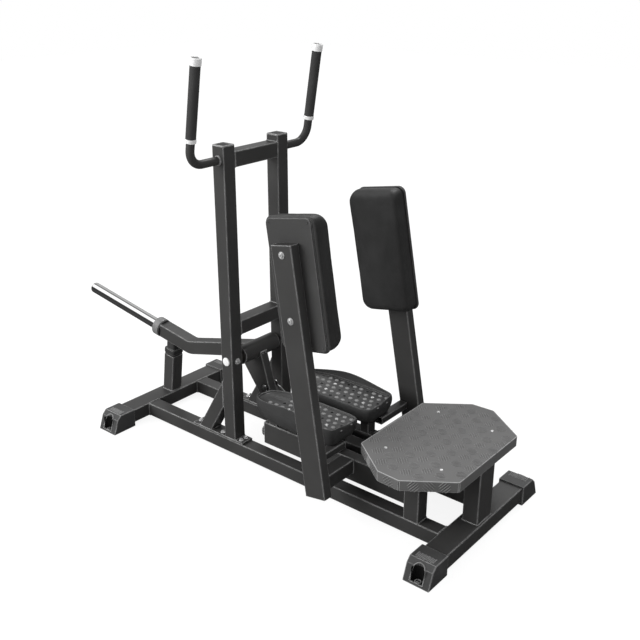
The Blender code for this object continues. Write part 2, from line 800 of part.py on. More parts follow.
def build_link_rod(side, sign, body):
    """A rod with an eye round the crank's ball and a wider, open eye round the leg's ball."""
    pin, _ = crank_pin_place()
    top = pin + Vector((0, sign * LINK_BALL_Y, 0))
    low = Vector((LINK_STUD[0], sign * LINK_STUD[1], LINK_STUD[2]))
    run = (low - top).normalized()
    axis = (Vector((0, 1, 0)) - run * run.y).normalized()
    top_bore = LINK_BALL_RADIUS + RUNNING_GAP
    low_bore = LINK_BALL_RADIUS + LINK_OPEN_GAP
    width = LINK_EYE_WIDTH
    rod = add_object(side + "_link_rod", *eye(top, axis, top_bore, width, 28), "steel", body)
    unite(rod, side + "_low_eye", eye(low, axis, low_bore, width, 28), body)
    start = top + run * (top_bore + LINK_EYE_WALL / 2)
    length = (low - top).length - top_bore - low_bore - LINK_EYE_WALL
    shank = LINK_ROD_RADIUS
    neck = width / 2 - 0.0004
    ease = 0.008
    outline = (
        (0, neck), (ease, neck), (2 * ease, shank), (length - 2 * ease, shank), (length - ease, neck),
        (length, neck),
    )
    unite(rod, side + "_shank", turned(start, run, outline, 16), body)


def build_weight_axle(body):
    """One turned axle whose heads stand outside the uprights."""
    reach = upright_outer_y + GAP
    edge = 0.002
    head = reach + AXLE_CAP_LENGTH
    half = [(reach, AXLE_RADIUS), (reach, AXLE_CAP_RADIUS), (head - edge, AXLE_CAP_RADIUS)]
    half.append((head, AXLE_CAP_RADIUS - edge))
    outline = [(-along, radius) for along, radius in reversed(half)] + half
    axle = turned((UPRIGHT_X, 0, PIVOT_Z), (0, 1, 0), outline)
    add_object("weight_pivot_axle", *axle, "chrome", body)


# Stop
def stop_axis():
    """Foot, direction and bumper seat of the stop post."""
    foot = Vector((POST_FOOT_X, 0, base_top + GAP))
    run = Vector((math.sin(POST_TILT), 0, math.cos(POST_TILT)))
    _, _, knee, rise, _ = knee_points()
    under = Vector((-rise.z, 0, rise.x))
    if under.z > 0:
        under = -under
    face = knee + under * (TUBE / 2 + BUMPER_GAP)
    reach = (face - foot).dot(under) / run.dot(under)
    return foot, run, under, reach


def build_stop(body):
    foot, run, under, reach = stop_axis()
    top = foot + run * (reach - BUMPER_HEIGHT - GAP)
    tube = square_tube((foot, top), (0, 1, 0), start_normal=(0, 0, 1), end_wall=WALL)
    add_object("stop_post", *tube, "frame", body)
    seat = top + run * GAP
    side = Vector((0, 1, 0))
    fore = run.cross(side)
    levels = (
        (0, BUMPER_LIP_WIDTH), (BUMPER_LIP_HEIGHT, BUMPER_LIP_WIDTH), (BUMPER_LIP_HEIGHT, BUMPER_WIDTH),
        (BUMPER_HEIGHT - BUMPER_CHAMFER, BUMPER_WIDTH), (BUMPER_HEIGHT, BUMPER_WIDTH - 2 * BUMPER_CHAMFER),
    )
    verts = []
    for height, width in levels:
        ring = rectangle(width, width, BUMPER_CORNER - (BUMPER_WIDTH - min(width, BUMPER_WIDTH)) / 2, 4)
        verts += [seat + side * a + fore * b + run * height for a, b in ring]
    count = len(verts) // len(levels)
    last = len(verts) - count
    plane = foot + run * reach
    for i in range(last, len(verts)):
        verts[i] = verts[i] + run * ((plane - verts[i]).dot(under) / run.dot(under))
    faces = [tuple(reversed(range(count))), tuple(range(last, len(verts)))]
    for i in range(0, last, count):
        faces += ring_faces(i, i + count, count)
    add_object("stop_bumper", verts, faces, "rubber", body)


# Spine, step and pivots
def build_spine(body):
    """The welded middle of the base: spine, both bearing plates, and the stand on its cross tube."""
    front_x = front_leg_x - PLATE_LEG_DEPTH / 2 - GAP
    z = SPINE_Z + TUBE / 2
    tube = square_tube(((SPINE_REAR_X - WELD, 0, z), (front_x, 0, z)), (0, 1, 0))
    spine = add_object("centre_spine", *tube, "frame", body)
    rear, front = plate_spots()
    outline = pivot_plate_outline()
    unite(spine, "rear_bearing_plate", slab(outline, rear, rear + PIVOT_PLATE, "x"), body)
    plate = unite(spine, "front_bearing_plate", slab(outline, front, front + PIVOT_PLATE, "x"), body)
    half = TUBE / 2 - WELD
    notch = block(
        (front - 0.01, -half, SPINE_Z + WELD), (front + PIVOT_PLATE + 0.01, half, SPINE_Z + TUBE - WELD)
    )
    cut_with(plate, "spine_notch", notch, body)
    y = upright_inner_y - GAP
    z = FLOOR_GAP + TUBE / 2
    cross = square_tube(((MID_CROSS_X, -y, z), (MID_CROSS_X, y, z)), (1, 0, 0))
    unite(spine, "mid_cross_tube", cross, body)
    ends = ((MID_CROSS_X, 0, base_top - WELD), (MID_CROSS_X, 0, SPINE_Z + WELD))
    unite(spine, "spine_stand", square_tube(ends, (0, 1, 0), width=SPINE_STAND_WIDTH), body)
    middle = (base_top + SPINE_Z) / 2
    vent = turned((MID_CROSS_X - TUBE, 0, middle), (1, 0, 0), ((0, VENT_RADIUS), (2 * TUBE, VENT_RADIUS)), 12)
    cut_with(spine, "stand_vent", vent, body)
    fit = SHAFT_RADIUS + GAP
    for side, sign in SIDES:
        start = (rear - 0.01, sign * LEG_PIVOT_Y, LEG_PIVOT_Z)
        hole = turned(start, (1, 0, 0), ((0, fit), (front - rear + PIVOT_PLATE + 0.02, fit)))
        cut_with(spine, side + "_shaft_hole", hole, body)


def pivot_plate_outline():
    """A plate round both leg shafts, as (y, z) pairs."""
    points = []
    for sign in (1, -1):
        for step in range(9):
            turn = math.radians(-90 + 180 * step / 8) if sign > 0 else math.radians(90 + 180 * step / 8)
            y = sign * LEG_PIVOT_Y + PIVOT_PLATE_RIM * math.cos(turn)
            points.append((y, LEG_PIVOT_Z + PIVOT_PLATE_RIM * math.sin(turn)))
    return points


def plate_spots():
    """Where the two bearing plates start along X: rear, then front."""
    rear = SPINE_REAR_X - PIVOT_PLATE
    front = LEG_BEAM_FRONT_X + LEG_BEAM_REAR_GAP
    return rear, front


def build_leg_shafts(body):
    rear, front = plate_spots()
    low = rear - GAP
    high = front + PIVOT_PLATE + GAP
    for side, sign in SIDES:
        y = sign * LEG_PIVOT_Y
        outline = (
            (-SHAFT_NUT_LENGTH, SHAFT_NUT_RADIUS), (0, SHAFT_NUT_RADIUS), (0, SHAFT_RADIUS),
            (high - low, SHAFT_RADIUS), (high - low, SHAFT_NUT_RADIUS),
            (high - low + SHAFT_NUT_LENGTH, SHAFT_NUT_RADIUS),
        )
        add_object(side + "_leg_shaft", *turned((low, y, LEG_PIVOT_Z), (1, 0, 0), outline), "steel", body)


def step_corners():
    """The octagon of the step, anticlockwise seen from above."""
    lower = [(x, -y) for x, y in STEP_OUTLINE]
    upper = [(x, y) for x, y in reversed(STEP_OUTLINE)]
    return lower + upper


def inset_corners(corners, amount):
    """The outline moved inwards by amount along each edge's normal."""
    moved = []
    count = len(corners)
    for i, corner in enumerate(corners):
        before = Vector(corners[i - 1])
        here = Vector(corner)
        after = Vector(corners[(i + 1) % count])
        first = (here - before).normalized()
        second = (after - here).normalized()
        n1 = Vector((-first.y, first.x))
        n2 = Vector((-second.y, second.x))
        mean = (n1 + n2).normalized()
        moved.append(here + mean * (amount / mean.dot(n1)))
    return moved


def build_step_plate(body):
    """A pressed tread plate with its skirt, open below."""
    corners = step_corners()
    edge = 0.004
    rings = (
        (STEP_SHEET, STEP_TOP - STEP_SHEET), (STEP_SHEET, STEP_TOP - STEP_SKIRT), (0.0, STEP_TOP - STEP_SKIRT),
        (0.0, STEP_TOP - edge), (edge * 0.3, STEP_TOP - edge * 0.3), (edge, STEP_TOP),
    )
    count = len(corners)
    verts = []
    for inset, z in rings:
        verts += [Vector((p[0], p[1], z)) for p in inset_corners(corners, inset)]
    faces = []
    for i in range(len(rings) - 1):
        faces += ring_faces(i * count, (i + 1) * count, count)
    faces.append(tuple(range(count)))
    faces.append(tuple(range((len(rings) - 1) * count, len(rings) * count)))
    add_object("step_plate", verts, faces, "tread", body)


def build_step_legs(body):
    seat = STEP_TOP - STEP_SHEET - GAP
    for side, sign in SIDES:
        y = sign * TRACK_Y
        path = ((STEP_LEG_X, y, base_top + GAP), (STEP_LEG_X, y, seat))
        leg = square_tube(path, (0, 1, 0), width=TUBE, depth=PLATE_LEG_DEPTH)
        add_object(side + "_step_leg", *leg, "frame", body)
    path = ((front_leg_x, 0, base_top + GAP), (front_leg_x, 0, seat))
    leg = square_tube(path, (0, 1, 0), width=FRONT_LEG_WIDTH, depth=PLATE_LEG_DEPTH)
    add_object("front_step_leg", *leg, "frame", body)


# Leg arms
def arm_axes(sign):
    """Foot corner and the arm's own directions: up along it, forward across it, inward through it."""
    up = Vector((
        -math.sin(ARM_TILT) * math.cos(ARM_LEAN), -sign * math.sin(ARM_LEAN),
        math.cos(ARM_TILT) * math.cos(ARM_LEAN),
    ))
    forward = Vector((math.cos(ARM_TILT), 0, math.sin(ARM_TILT)))
    inward = up.cross(forward)
    if inward.y * sign > 0:
        inward = -inward
    corner = Vector((ARM_FOOT_X, sign * ARM_FOOT_Y, ARM_FOOT_Z))
    return corner, up, forward, inward


def arm_point(sign, along, ahead, depth):
    """A point counted from the middle of the arm's outer face at its foot."""
    corner, up, forward, inward = arm_axes(sign)
    return corner + up * along + forward * (ahead - ARM_WIDTH / 2) + inward * depth


def arm_inner_y(z):
    """The |y| of the arm's inner face at height z."""
    lean = (z - ARM_FOOT_Z) * math.tan(ARM_LEAN) / math.cos(ARM_TILT)
    return ARM_FOOT_Y - ARM_DEPTH / math.cos(ARM_LEAN) - lean


def build_leg(side, sign, body):
    corner, up, forward, inward = arm_axes(sign)
    foot = arm_point(sign, 0.0, 0.0, ARM_DEPTH / 2)
    top = arm_point(sign, ARM_LENGTH, 0.0, ARM_DEPTH / 2)
    arm = square_tube((foot, top), forward, width=ARM_WIDTH, depth=ARM_DEPTH, end_wall=WALL)
    add_object(side + "_leg_arm", *arm, "frame", body)
    build_leg_beam(side, sign, body)
    build_pad(side, sign, body)
    build_pedal(side, sign, body)


def build_leg_beam(side, sign, body):
    """The long welded box that turns on the shaft: its tube, two hub plates, toe stand and link stud."""
    y = sign * LEG_PIVOT_Y
    rear = SPINE_REAR_X + LEG_BEAM_REAR_GAP
    top = LEG_PIVOT_Z + LEG_BEAM_HEIGHT / 2
    path = ((rear, y, LEG_PIVOT_Z), (LEG_BEAM_FRONT_X, y, LEG_PIVOT_Z))
    outer = rectangle(LEG_BEAM_WIDTH, LEG_BEAM_HEIGHT, CORNER)
    inner = rectangle(LEG_BEAM_WIDTH - 2 * WALL, LEG_BEAM_HEIGHT - 2 * WALL, CORNER - WALL)
    beam = add_object(side + "_leg_beam", *sweep(path, outer, (0, 1, 0), bore=inner), "frame", body)
    hub_wall = WALL - WELD
    hub = rectangle(LEG_BEAM_WIDTH - 2 * hub_wall, LEG_BEAM_HEIGHT - 2 * hub_wall, CORNER - hub_wall)
    for end, x in (("rear", rear + LEG_END_PLATE), ("front", LEG_BEAM_FRONT_X - 2 * LEG_END_PLATE)):
        plate = slab(shift_outline(hub, y, LEG_PIVOT_Z), x, x + LEG_END_PLATE, "x")
        unite(beam, side + "_" + end + "_hub", plate, body)
    stand = stand_tube(TOE_STAND_X, sign, top - WELD)
    unite(beam, side + "_toe_stand", stand, body)
    unite(beam, side + "_link_stud", link_stud(sign), body)
    fit = SHAFT_RADIUS + RUNNING_GAP
    hole = turned((rear - 0.01, y, LEG_PIVOT_Z), (1, 0, 0), ((0, fit), (LEG_BEAM_FRONT_X - rear + 0.02, fit)))
    cut_with(beam, side + "_hub_hole", hole, body)
    near = sign * (LEG_PIVOT_Y + LEG_BEAM_WIDTH / 2 + GAP)
    z = top - TUBE / 2
    far = sign * (arm_inner_y(z + TUBE / 2) - 2 * GAP)
    lean = (0, sign * math.cos(ARM_LEAN), math.sin(ARM_LEAN))
    tube = square_tube(((CROSS_X, near, z), (CROSS_X, far, z)), (1, 0, 0), end_normal=lean)
    add_object(side + "_leg_cross_tube", *tube, "frame", body)


def stand_tube(x, sign, low):
    """A short tube from the leg beam's top up to the pedal's underside."""
    high = PEDAL_DECK - PEDAL_SHEET - GAP
    y = sign * LEG_PIVOT_Y
    return square_tube(((x, y, low), (x, y, high)), (0, 1, 0), width=LEG_BEAM_WIDTH - WELD, depth=STAND_DEPTH)


def link_stud(sign):
    """The ball stud on the beam's inner face that its link rod pulls."""
    root = LEG_PIVOT_Y - LEG_BEAM_WIDTH / 2 + WELD
    reach = root - LINK_STUD[1]
    flange = WELD + LINK_NUT_LENGTH / 2
    outline = [(0, LINK_NUT_RADIUS), (flange, LINK_NUT_RADIUS), (flange, LINK_NECK_RADIUS)]
    place = (LINK_STUD[0], sign * root, LINK_STUD[2])
    return turned(place, (0, -sign, 0), outline + ball_outline(reach), 20)


# Thigh pads
def pad_point(sign, across, along, depth):
    middle = pad_top - PAD_LENGTH / 2
    return arm_point(sign, middle + along, PAD_OFFSET + across, ARM_DEPTH + depth)


def pad_solid(sign, rings):
    """Vertices and faces of a closed solid through (outline, depth) pairs."""
    count = len(rings[0][0])
    verts = [pad_point(sign, a, b, depth) for outline, depth in rings for a, b in outline]
    faces = []
    for i in range(len(rings) - 1):
        faces += ring_faces(i * count, (i + 1) * count, count)
    faces.append(tuple(range(count)))
    faces.append(tuple(range((len(rings) - 1) * count, len(rings) * count)))
    return verts, faces


def build_pad(side, sign, body):
    board_depth = GAP
    edge = 0.003
    width = PAD_WIDTH - 2 * BOARD_INSET
    length = PAD_LENGTH - 2 * BOARD_INSET
    levels = (
        (edge, board_depth), (0, board_depth + edge), (0, board_depth + BOARD_THICKNESS - 0.001),
        (0.001, board_depth + BOARD_THICKNESS),
    )
    outline = lambda inset: rectangle(width - 2 * inset, length - 2 * inset, BOARD_CORNER - inset, 6)
    rings = [(outline(inset), depth) for inset, depth in levels]
    add_object(side + "_pad_board", *pad_solid(sign, rings), "board", body)
    build_cushion(side, sign, body, board_depth + BOARD_THICKNESS + GAP)
    _, up, forward, inward = arm_axes(sign)
    for place_name, drop in PAD_BOLT_DROPS:
        along = ARM_LENGTH - drop
        place = arm_point(sign, along, 0.0, -GAP)
        outline = (
            (0, PAD_BOLT_RADIUS), (0.002, PAD_BOLT_RADIUS), (0.0025, PAD_BOLT_RADIUS * 0.74),
            (PAD_BOLT_HEAD * 0.7, PAD_BOLT_RADIUS * 0.7), (PAD_BOLT_HEAD, PAD_BOLT_RADIUS * 0.4),
        )
        name = side + "_" + place_name + "_pad_bolt"
        add_object(name, *turned(place, -inward, outline, 20), "chrome", body)


def cushion_levels():
    """(side inset, end inset, depth) of each ring: a straight box, then edges rounded most at both ends."""
    face = CUSHION_THICKNESS - CUSHION_CROWN
    levels = [(CUSHION_DRAW, CUSHION_DRAW, 0.0), (CUSHION_DRAW * 0.3, CUSHION_DRAW * 0.3, CUSHION_BOX * 0.4)]
    for step in range(0, 9):
        turn = math.pi / 2 * step / 8
        depth = CUSHION_BOX + (face - CUSHION_BOX) * math.sin(turn)
        rise = max(0.0, depth - (face - CUSHION_EDGE))
        side = CUSHION_EDGE - math.sqrt(CUSHION_EDGE ** 2 - min(rise, CUSHION_EDGE) ** 2)
        levels.append((side, CUSHION_END * (1 - math.cos(turn)), depth))
    reach = PAD_WIDTH / 2 - CUSHION_EDGE
    for share in (0.25, 0.55, 0.88):
        depth = face + CUSHION_CROWN * math.sin(math.pi / 2 * share)
        levels.append((CUSHION_EDGE + reach * share, CUSHION_END + reach * share, depth))
    return levels


def build_cushion(side, sign, body, seat):
    rings = []
    for across, along, depth in cushion_levels():
        corner = max(CUSHION_CORNER - across * 0.4, 0.004)
        corner = min(corner, PAD_WIDTH / 2 - across - 0.0005)
        outline = rectangle(PAD_WIDTH - 2 * across, PAD_LENGTH - 2 * along, corner, 6, 6)
        rings.append((outline, seat + depth))
    add_object(side + "_pad_cushion", *pad_solid(sign, rings), "leather", body, smooth=True)


# Pedals
def pedal_outline(sign, inset, level):
    """The pedal's plan, round at the toe, square at the heel; level is a height or gives one."""
    points = []
    count = 48
    for i in range(count):
        turn = 2 * math.pi * i / count
        c, s = math.cos(turn), math.sin(turn)
        power = PEDAL_HEEL_POWER if c > 0 else PEDAL_TOE_POWER
        reach = (abs(c) ** power + abs(s) ** power) ** (-1 / power)
        u, w = c * reach, s * reach
        toe = max(0.0, -u)
        half_width = PEDAL_HALF_WIDTH * (1 - 0.16 * toe * toe)
        x = PEDAL_X + u * (PEDAL_HALF_LENGTH - inset)
        y = PEDAL_Y + w * (half_width - inset)
        z = level(u, w) if callable(level) else level
        points.append(Vector((x, sign * y, z)))
    return points


def wall_height(u, w):
    """The wall rises above the rim on the outer side, most of all half way along it."""
    outer = max(0.0, min(1.0, (w + 0.25) / 0.9))
    ease = outer * outer * (3 - 2 * outer)
    return PEDAL_RIM + PEDAL_WALL_RISE * ease * (0.665 + 0.335 * math.cos(math.pi * u))


def build_pedal(side, sign, body):
    lean = lambda u, w: wall_height(u, w) - 0.003
    deck = PEDAL_DECK
    under = deck - PEDAL_SHEET
    rings = (
        pedal_outline(sign, PEDAL_TAPER + PEDAL_SHEET + 0.02, under),
        pedal_outline(sign, PEDAL_SHEET + 0.006, under),
        pedal_outline(sign, PEDAL_TAPER + PEDAL_SHEET, PEDAL_BOTTOM),
        pedal_outline(sign, PEDAL_TAPER, PEDAL_BOTTOM),
        pedal_outline(sign, 0.001, PEDAL_RIM - 0.012),
        pedal_outline(sign, 0.0, lean),
        pedal_outline(sign, 0.002, wall_height),
        pedal_outline(sign, 0.005, wall_height),
        pedal_outline(sign, 0.009, PEDAL_DECK + 0.003),
        pedal_outline(sign, 0.015, PEDAL_DECK),
    )
    count = len(rings[0])
    verts = [v for ring in rings for v in ring]
    faces = []
    for i in range(len(rings) - 1):
        faces += ring_faces(i * count, (i + 1) * count, count)
    faces.append(tuple(range(count)))
    faces.append(tuple(range((len(rings) - 1) * count, len(rings) * count)))
    add_object(side + "_pedal", verts, faces, "plastic", body)
    build_pedal_bracket(side, sign, body)


def build_pedal_bracket(side, sign, body):
    """The stand under the pedal's heel, with the tie that reaches out to the arm."""
    stand = stand_tube(HEEL_STAND_X, sign, LEG_PIVOT_Z + LEG_BEAM_HEIGHT / 2 + GAP)
    top = PEDAL_BOTTOM - 2 * GAP
    z = top - PEDAL_TIE_HEIGHT / 2
    near = sign * (LEG_PIVOT_Y + LEG_BEAM_WIDTH / 2 - 2 * WELD)
    far = sign * (arm_inner_y(top) - 2 * GAP)
    lean = (0, sign * math.cos(ARM_LEAN), math.sin(ARM_LEAN))
    tie = square_tube(
        ((PEDAL_TIE_X, near, z), (PEDAL_TIE_X, far, z)), (1, 0, 0),
        width=PEDAL_TIE_WIDTH, depth=PEDAL_TIE_HEIGHT, end_normal=lean,
    )
    weld(side + "_pedal_bracket", [stand, tie], "frame", body)


FINISHES = {
    "frame": ((0.040, 0.040, 0.039), 0.46, 0.25),
    "rubber": ((0.018, 0.018, 0.018), 0.72, 0.0),
    "tread": ((0.165, 0.165, 0.160), 0.55, 0.35),
    "chrome": ((0.78, 0.78, 0.78), 0.12, 1.0),
    "steel": ((0.50, 0.50, 0.50), 0.32, 1.0),
    "silver": ((0.68, 0.68, 0.68), 0.22, 1.0),
    "bronze": ((0.42, 0.30, 0.14), 0.40, 1.0),
    "board": ((0.030, 0.030, 0.030), 0.50, 0.0),
    "leather": ((0.022, 0.022, 0.023), 0.48, 0.0),
    "plastic": ((0.020, 0.020, 0.020), 0.55, 0.0),
    "cutter": ((0.5, 0.1, 0.1), 0.5, 0.0),
}


def machine_shift():
    """Moves X so that the origin is under the middle of the machine, from horn tip to base front."""
    _, _, _, rise, end = knee_points()
    tip = end + rise * (GAP + COLLAR_LENGTH + HORN_LENGTH)
    rear = tip.x - rise.z * (HORN_RADIUS - HORN_ROUND)
    front = BEAM_X + BEAM_WIDTH / 2 + CAP_SHELL
    return -(rear + front) / 2


def build_machine():
    clear_scene()
    machine = add_empty("machine", (0, 0, 0))
    machine.location.x = machine_shift()
    lever = add_empty("weight_lever_pivot", (UPRIGHT_X, 0, PIVOT_Z), machine)
    legs = {}
    for side, sign in SIDES:
        place = (SPINE_REAR_X, sign * LEG_PIVOT_Y, LEG_PIVOT_Z)
        legs[side] = add_empty(side + "_leg_pivot", place, machine)
    build_crossbeams(machine)
    build_base_rails(machine)
    build_foot_caps(machine)
    build_uprights(machine)
    build_braces(machine)
    build_crossbars(machine)
    build_top_plugs(machine)
    build_handles(machine)
    build_weight_axle(machine)
    build_stop(machine)
    build_spine(machine)
    build_leg_shafts(machine)
    build_step_plate(machine)
    build_step_legs(machine)
    build_weight_lever(lever)
    for side, sign in SIDES:
        build_leg(side, sign, legs[side])
        ball = crank_pin_place()[0] + Vector((0, sign * LINK_BALL_Y, 0))
        build_link_rod(side, sign, add_empty(side + "_link_pivot", ball, lever))
    print("machine shift", round(machine_shift(), 6))


build_machine()
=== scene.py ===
import json
import math
import bmesh
import bpy
import numpy as np
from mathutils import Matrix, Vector
from mathutils.geometry import tessellate_polygon


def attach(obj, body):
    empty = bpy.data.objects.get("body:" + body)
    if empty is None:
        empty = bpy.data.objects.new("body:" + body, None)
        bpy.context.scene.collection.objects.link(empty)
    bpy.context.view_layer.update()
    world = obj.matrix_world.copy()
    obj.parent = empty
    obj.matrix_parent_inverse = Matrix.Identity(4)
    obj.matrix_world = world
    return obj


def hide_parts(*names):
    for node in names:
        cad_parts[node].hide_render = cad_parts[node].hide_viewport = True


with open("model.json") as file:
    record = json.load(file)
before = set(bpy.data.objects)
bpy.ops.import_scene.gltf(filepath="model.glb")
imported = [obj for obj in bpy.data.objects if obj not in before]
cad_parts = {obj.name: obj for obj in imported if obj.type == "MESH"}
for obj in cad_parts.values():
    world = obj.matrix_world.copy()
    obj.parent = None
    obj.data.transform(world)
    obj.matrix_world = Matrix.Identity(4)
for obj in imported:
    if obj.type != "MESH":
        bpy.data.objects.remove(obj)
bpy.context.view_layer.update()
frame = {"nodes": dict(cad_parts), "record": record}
record = frame["record"]

machineShift = 0.235536   # what the CAD adds to an X counted from the base's middle
gap = 0.0003
sides = (("left", -1), ("right", 1))
pi = math.pi
ex, ey, ez = np.eye(3)
layout = {
    "track": 0.147, "tube": 0.060, "baseTop": 0.0745, "footTop": 0.0828, "uprightX": -0.2525,
    "uprightTop": 1.300, "pivotZ": 0.434, "beamX": 0.813, "postX": -0.808, "stepTop": 0.329,
    "stepScrewX": (0.531, 0.763), "stepScrewY": 0.172,
}


# Shapes as arrays
def unit(v):
    # a direction, or each row of an array, scaled to length one
    v = np.asarray(v, float)
    return v / np.linalg.norm(v, axis=-1, keepdims=True)


def raised(outline, z):
    # flat points given one height, or a height each
    return np.column_stack([outline, np.broadcast_to(z, len(outline))])


def gridQuads(rows, columns, loop=False):
    # quads between neighbouring closed rings; loop joins the last ring to the first
    r, c = np.meshgrid(np.arange(rows if loop else rows - 1), np.arange(columns), indexing="ij")
    after, beside = (r + 1) % rows, (c + 1) % columns
    quads = [r * columns + c, r * columns + beside, after * columns + beside, after * columns + c]
    return np.stack(quads, -1).reshape(-1, 4)


def ringSolid(rings, ends="caps"):
    # skin over rings of points: caps close both ends, loop joins them, open leaves them
    rings = np.asarray(rings, float)
    rows, columns = rings.shape[:2]
    caps = [np.arange(columns)[::-1], np.arange((rows - 1) * columns, rows * columns)]
    return rings.reshape(-1, 3), gridQuads(rows, columns, ends == "loop"), caps if ends == "caps" else []


def closedMesh(name, solids, shift=0.0):
    # one mesh from several solids, moved along X, with its faces turned outwards
    counts = np.cumsum([0] + [len(solid[0]) for solid in solids])
    faces = []
    for start, (_, quads, caps) in zip(counts, solids):
        faces += (np.asarray(quads) + start).tolist() + [(np.asarray(cap) + start).tolist() for cap in caps]
    mesh = bpy.data.meshes.new(name)
    mesh.from_pydata((np.concatenate([solid[0] for solid in solids]) + (shift, 0, 0)).tolist(), [], faces)
    bm = bmesh.new()
    bm.from_mesh(mesh)
    bmesh.ops.recalc_face_normals(bm, faces=bm.faces)
    bm.to_mesh(mesh)
    bm.free()
    return mesh


def linked(name, data):
    thing = bpy.data.objects.new(name, data)
    bpy.context.scene.collection.objects.link(thing)
    return thing


def putPiece(name, solids, finish, body, nodes=(), crease=34):
    # a piece from solids in the base's coordinates, dressed in its finish
    mesh = closedMesh(name, solids, machineShift)
    mesh.shade_smooth()
    mesh.set_sharp_from_angle(angle=math.radians(crease))
    mesh.materials.append(finishes[finish])
    piece = linked(name, mesh)
    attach(piece, body)
    if nodes:
        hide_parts(*nodes)
    return piece


def soften(points, radius, steps=4):
    # each inner corner of a profile becomes a quadratic curve that starts and ends radius away from it
    points = np.asarray(points, float)
    t = np.linspace(0, 1, steps + 1)[:, None]
    out = [points[:1]]
    for before, corner, after in zip(points, points[1:], points[2:]):
        reach = min(radius, np.linalg.norm(before - corner) * 0.49, np.linalg.norm(after - corner) * 0.49)
        a = corner + unit(before - corner) * reach
        b = corner + unit(after - corner) * reach
        out.append((1 - t) ** 2 * a + 2 * t * (1 - t) * corner + t ** 2 * b)
    return np.concatenate(out + [points[-1:]])


def turned(place, axis, profile, around=40, ends="caps", shape=None):
    # a lathe form: each profile pair is a distance along the axis and a radius; shape changes radii by angle
    axis = unit(axis)
    side = unit(np.cross(axis, (0.31, 0.17, 0.93) if abs(axis[2]) < 0.9 else (0.0, 1.0, 0.0)))
    angle = np.linspace(0, 2 * pi, around, endpoint=False)
    circle = np.cos(angle)[:, None] * side + np.sin(angle)[:, None] * np.cross(axis, side)
    profile = np.asarray(profile, float)
    radii = profile[:, 1:2] * np.ones(around)
    if shape is not None:
        radii = shape(radii, angle)
    rings = np.asarray(place, float) + profile[:, :1, None] * axis + radii[:, :, None] * circle
    return ringSolid(rings, ends)


def bendPath(start, corner, end, radius, steps=14, run=0.02):
    # a straight, an arc of the given radius that touches both straights, and a straight, in even short steps
    a, b = unit(start - corner), unit(end - corner)
    half = math.acos(np.clip(np.dot(a, b), -1, 1)) / 2
    reach = radius / math.tan(half)
    centre = corner + unit(a + b) * radius / math.sin(half)
    first, last = corner + a * reach, corner + b * reach
    u, w = first - centre, last - centre
    sweep = math.acos(np.clip(np.dot(unit(u), unit(w)), -1, 1))
    t = np.linspace(0, 1, steps)[:, None]
    arc = centre + (np.sin((1 - t) * sweep) * u + np.sin(t * sweep) * w) / math.sin(sweep)
    before = np.linspace(start, first, max(2, int(np.linalg.norm(first - start) / run)))[:-1]
    after = np.linspace(last, end, max(2, int(np.linalg.norm(end - last) / run)))[1:]
    return np.concatenate([before, arc, after])


def tubeAlong(path, radius, side, around=28, ends="caps"):
    # circles square to a flat path whose plane has the normal side; radius may differ from point to point
    path = np.asarray(path, float)
    loop = ends == "loop"
    run = unit(np.roll(path, -1, 0) - np.roll(path, 1, 0) if loop else np.gradient(path, axis=0))
    up = unit(np.cross(run, unit(np.broadcast_to(side, path.shape))))
    side = np.cross(up, run)
    angle = np.linspace(0, 2 * pi, around, endpoint=False)[None, :, None]
    size = np.broadcast_to(np.asarray(radius, float), len(path))[:, None, None]
    rings = path[:, None] + size * (np.cos(angle) * side[:, None] + np.sin(angle) * up[:, None])
    return ringSolid(rings, ends)


def roundedRectangle(width, height, corner, steps=8, side=1):
    # corner arcs of a rectangle, anticlockwise, with extra points along its straight sides
    centres = np.array([(1, 1), (-1, 1), (-1, -1), (1, -1)]) * (width / 2 - corner, height / 2 - corner)
    angles = np.arange(4)[:, None] * pi / 2 + np.linspace(0, pi / 2, steps + 1)
    arcs = centres[:, None] + corner * np.stack([np.cos(angles), np.sin(angles)], -1)
    if side > 1:
        t = (np.arange(1, side) / side)[None, :, None]
        links = arcs[:, -1:] * (1 - t) + np.roll(arcs, -1, 0)[:, :1] * t
        arcs = np.concatenate([arcs, links], 1)
    return arcs.reshape(-1, 2)


def evenLoop(points, spacing):
    # a closed line walked in equal steps
    ring = np.concatenate([points, points[:1]])
    length = np.concatenate([[0], np.cumsum(np.linalg.norm(np.diff(ring, axis=0), axis=1))])
    at = np.linspace(0, length[-1], max(8, int(length[-1] / spacing)), endpoint=False)
    return np.stack([np.interp(at, length, ring[:, k]) for k in range(ring.shape[1])], -1)


def weldBead(outline, normal, wave=0.07):
    # a bead along a closed line, whose radius ripples with the welder's steps and with a slower wave
    loop = evenLoop(outline, 0.0022)
    step = np.arange(len(loop))
    size = 0.0030 * (1 + 0.13 * np.sin(step * 2 * pi / 3.0) + wave * np.sin(step * 0.37))
    return tubeAlong(loop, size, normal, 8, "loop")


def weldLoop(centre, u, v, width, height):
    # a weld bead round a tube's end, whose plane has the directions u and v
    outline = roundedRectangle(width, height, 0.005, 4, 6)
    return weldBead(centre + outline[:, :1] * u + outline[:, 1:] * v, np.cross(u, v))


def hexagon(radii, angle):
    # a circle turned into a hexagon of the same distance across its flats
    flats = 1 / np.cos((angle + 0.26) % (pi / 3) - pi / 6)
    mask = np.zeros((len(radii), 1))
    mask[2:-1] = 1
    return radii * (1 + mask * (flats - 1))


def socketed(radii, angle):
    # the last two rows of a profile become a hexagon socket
    flats = 1 / np.cos(angle % (pi / 3) - pi / 6)
    rows = np.zeros((len(radii), 1))
    rows[-2:] = 1
    return radii * (1 + rows * (flats * 0.93 - 1))


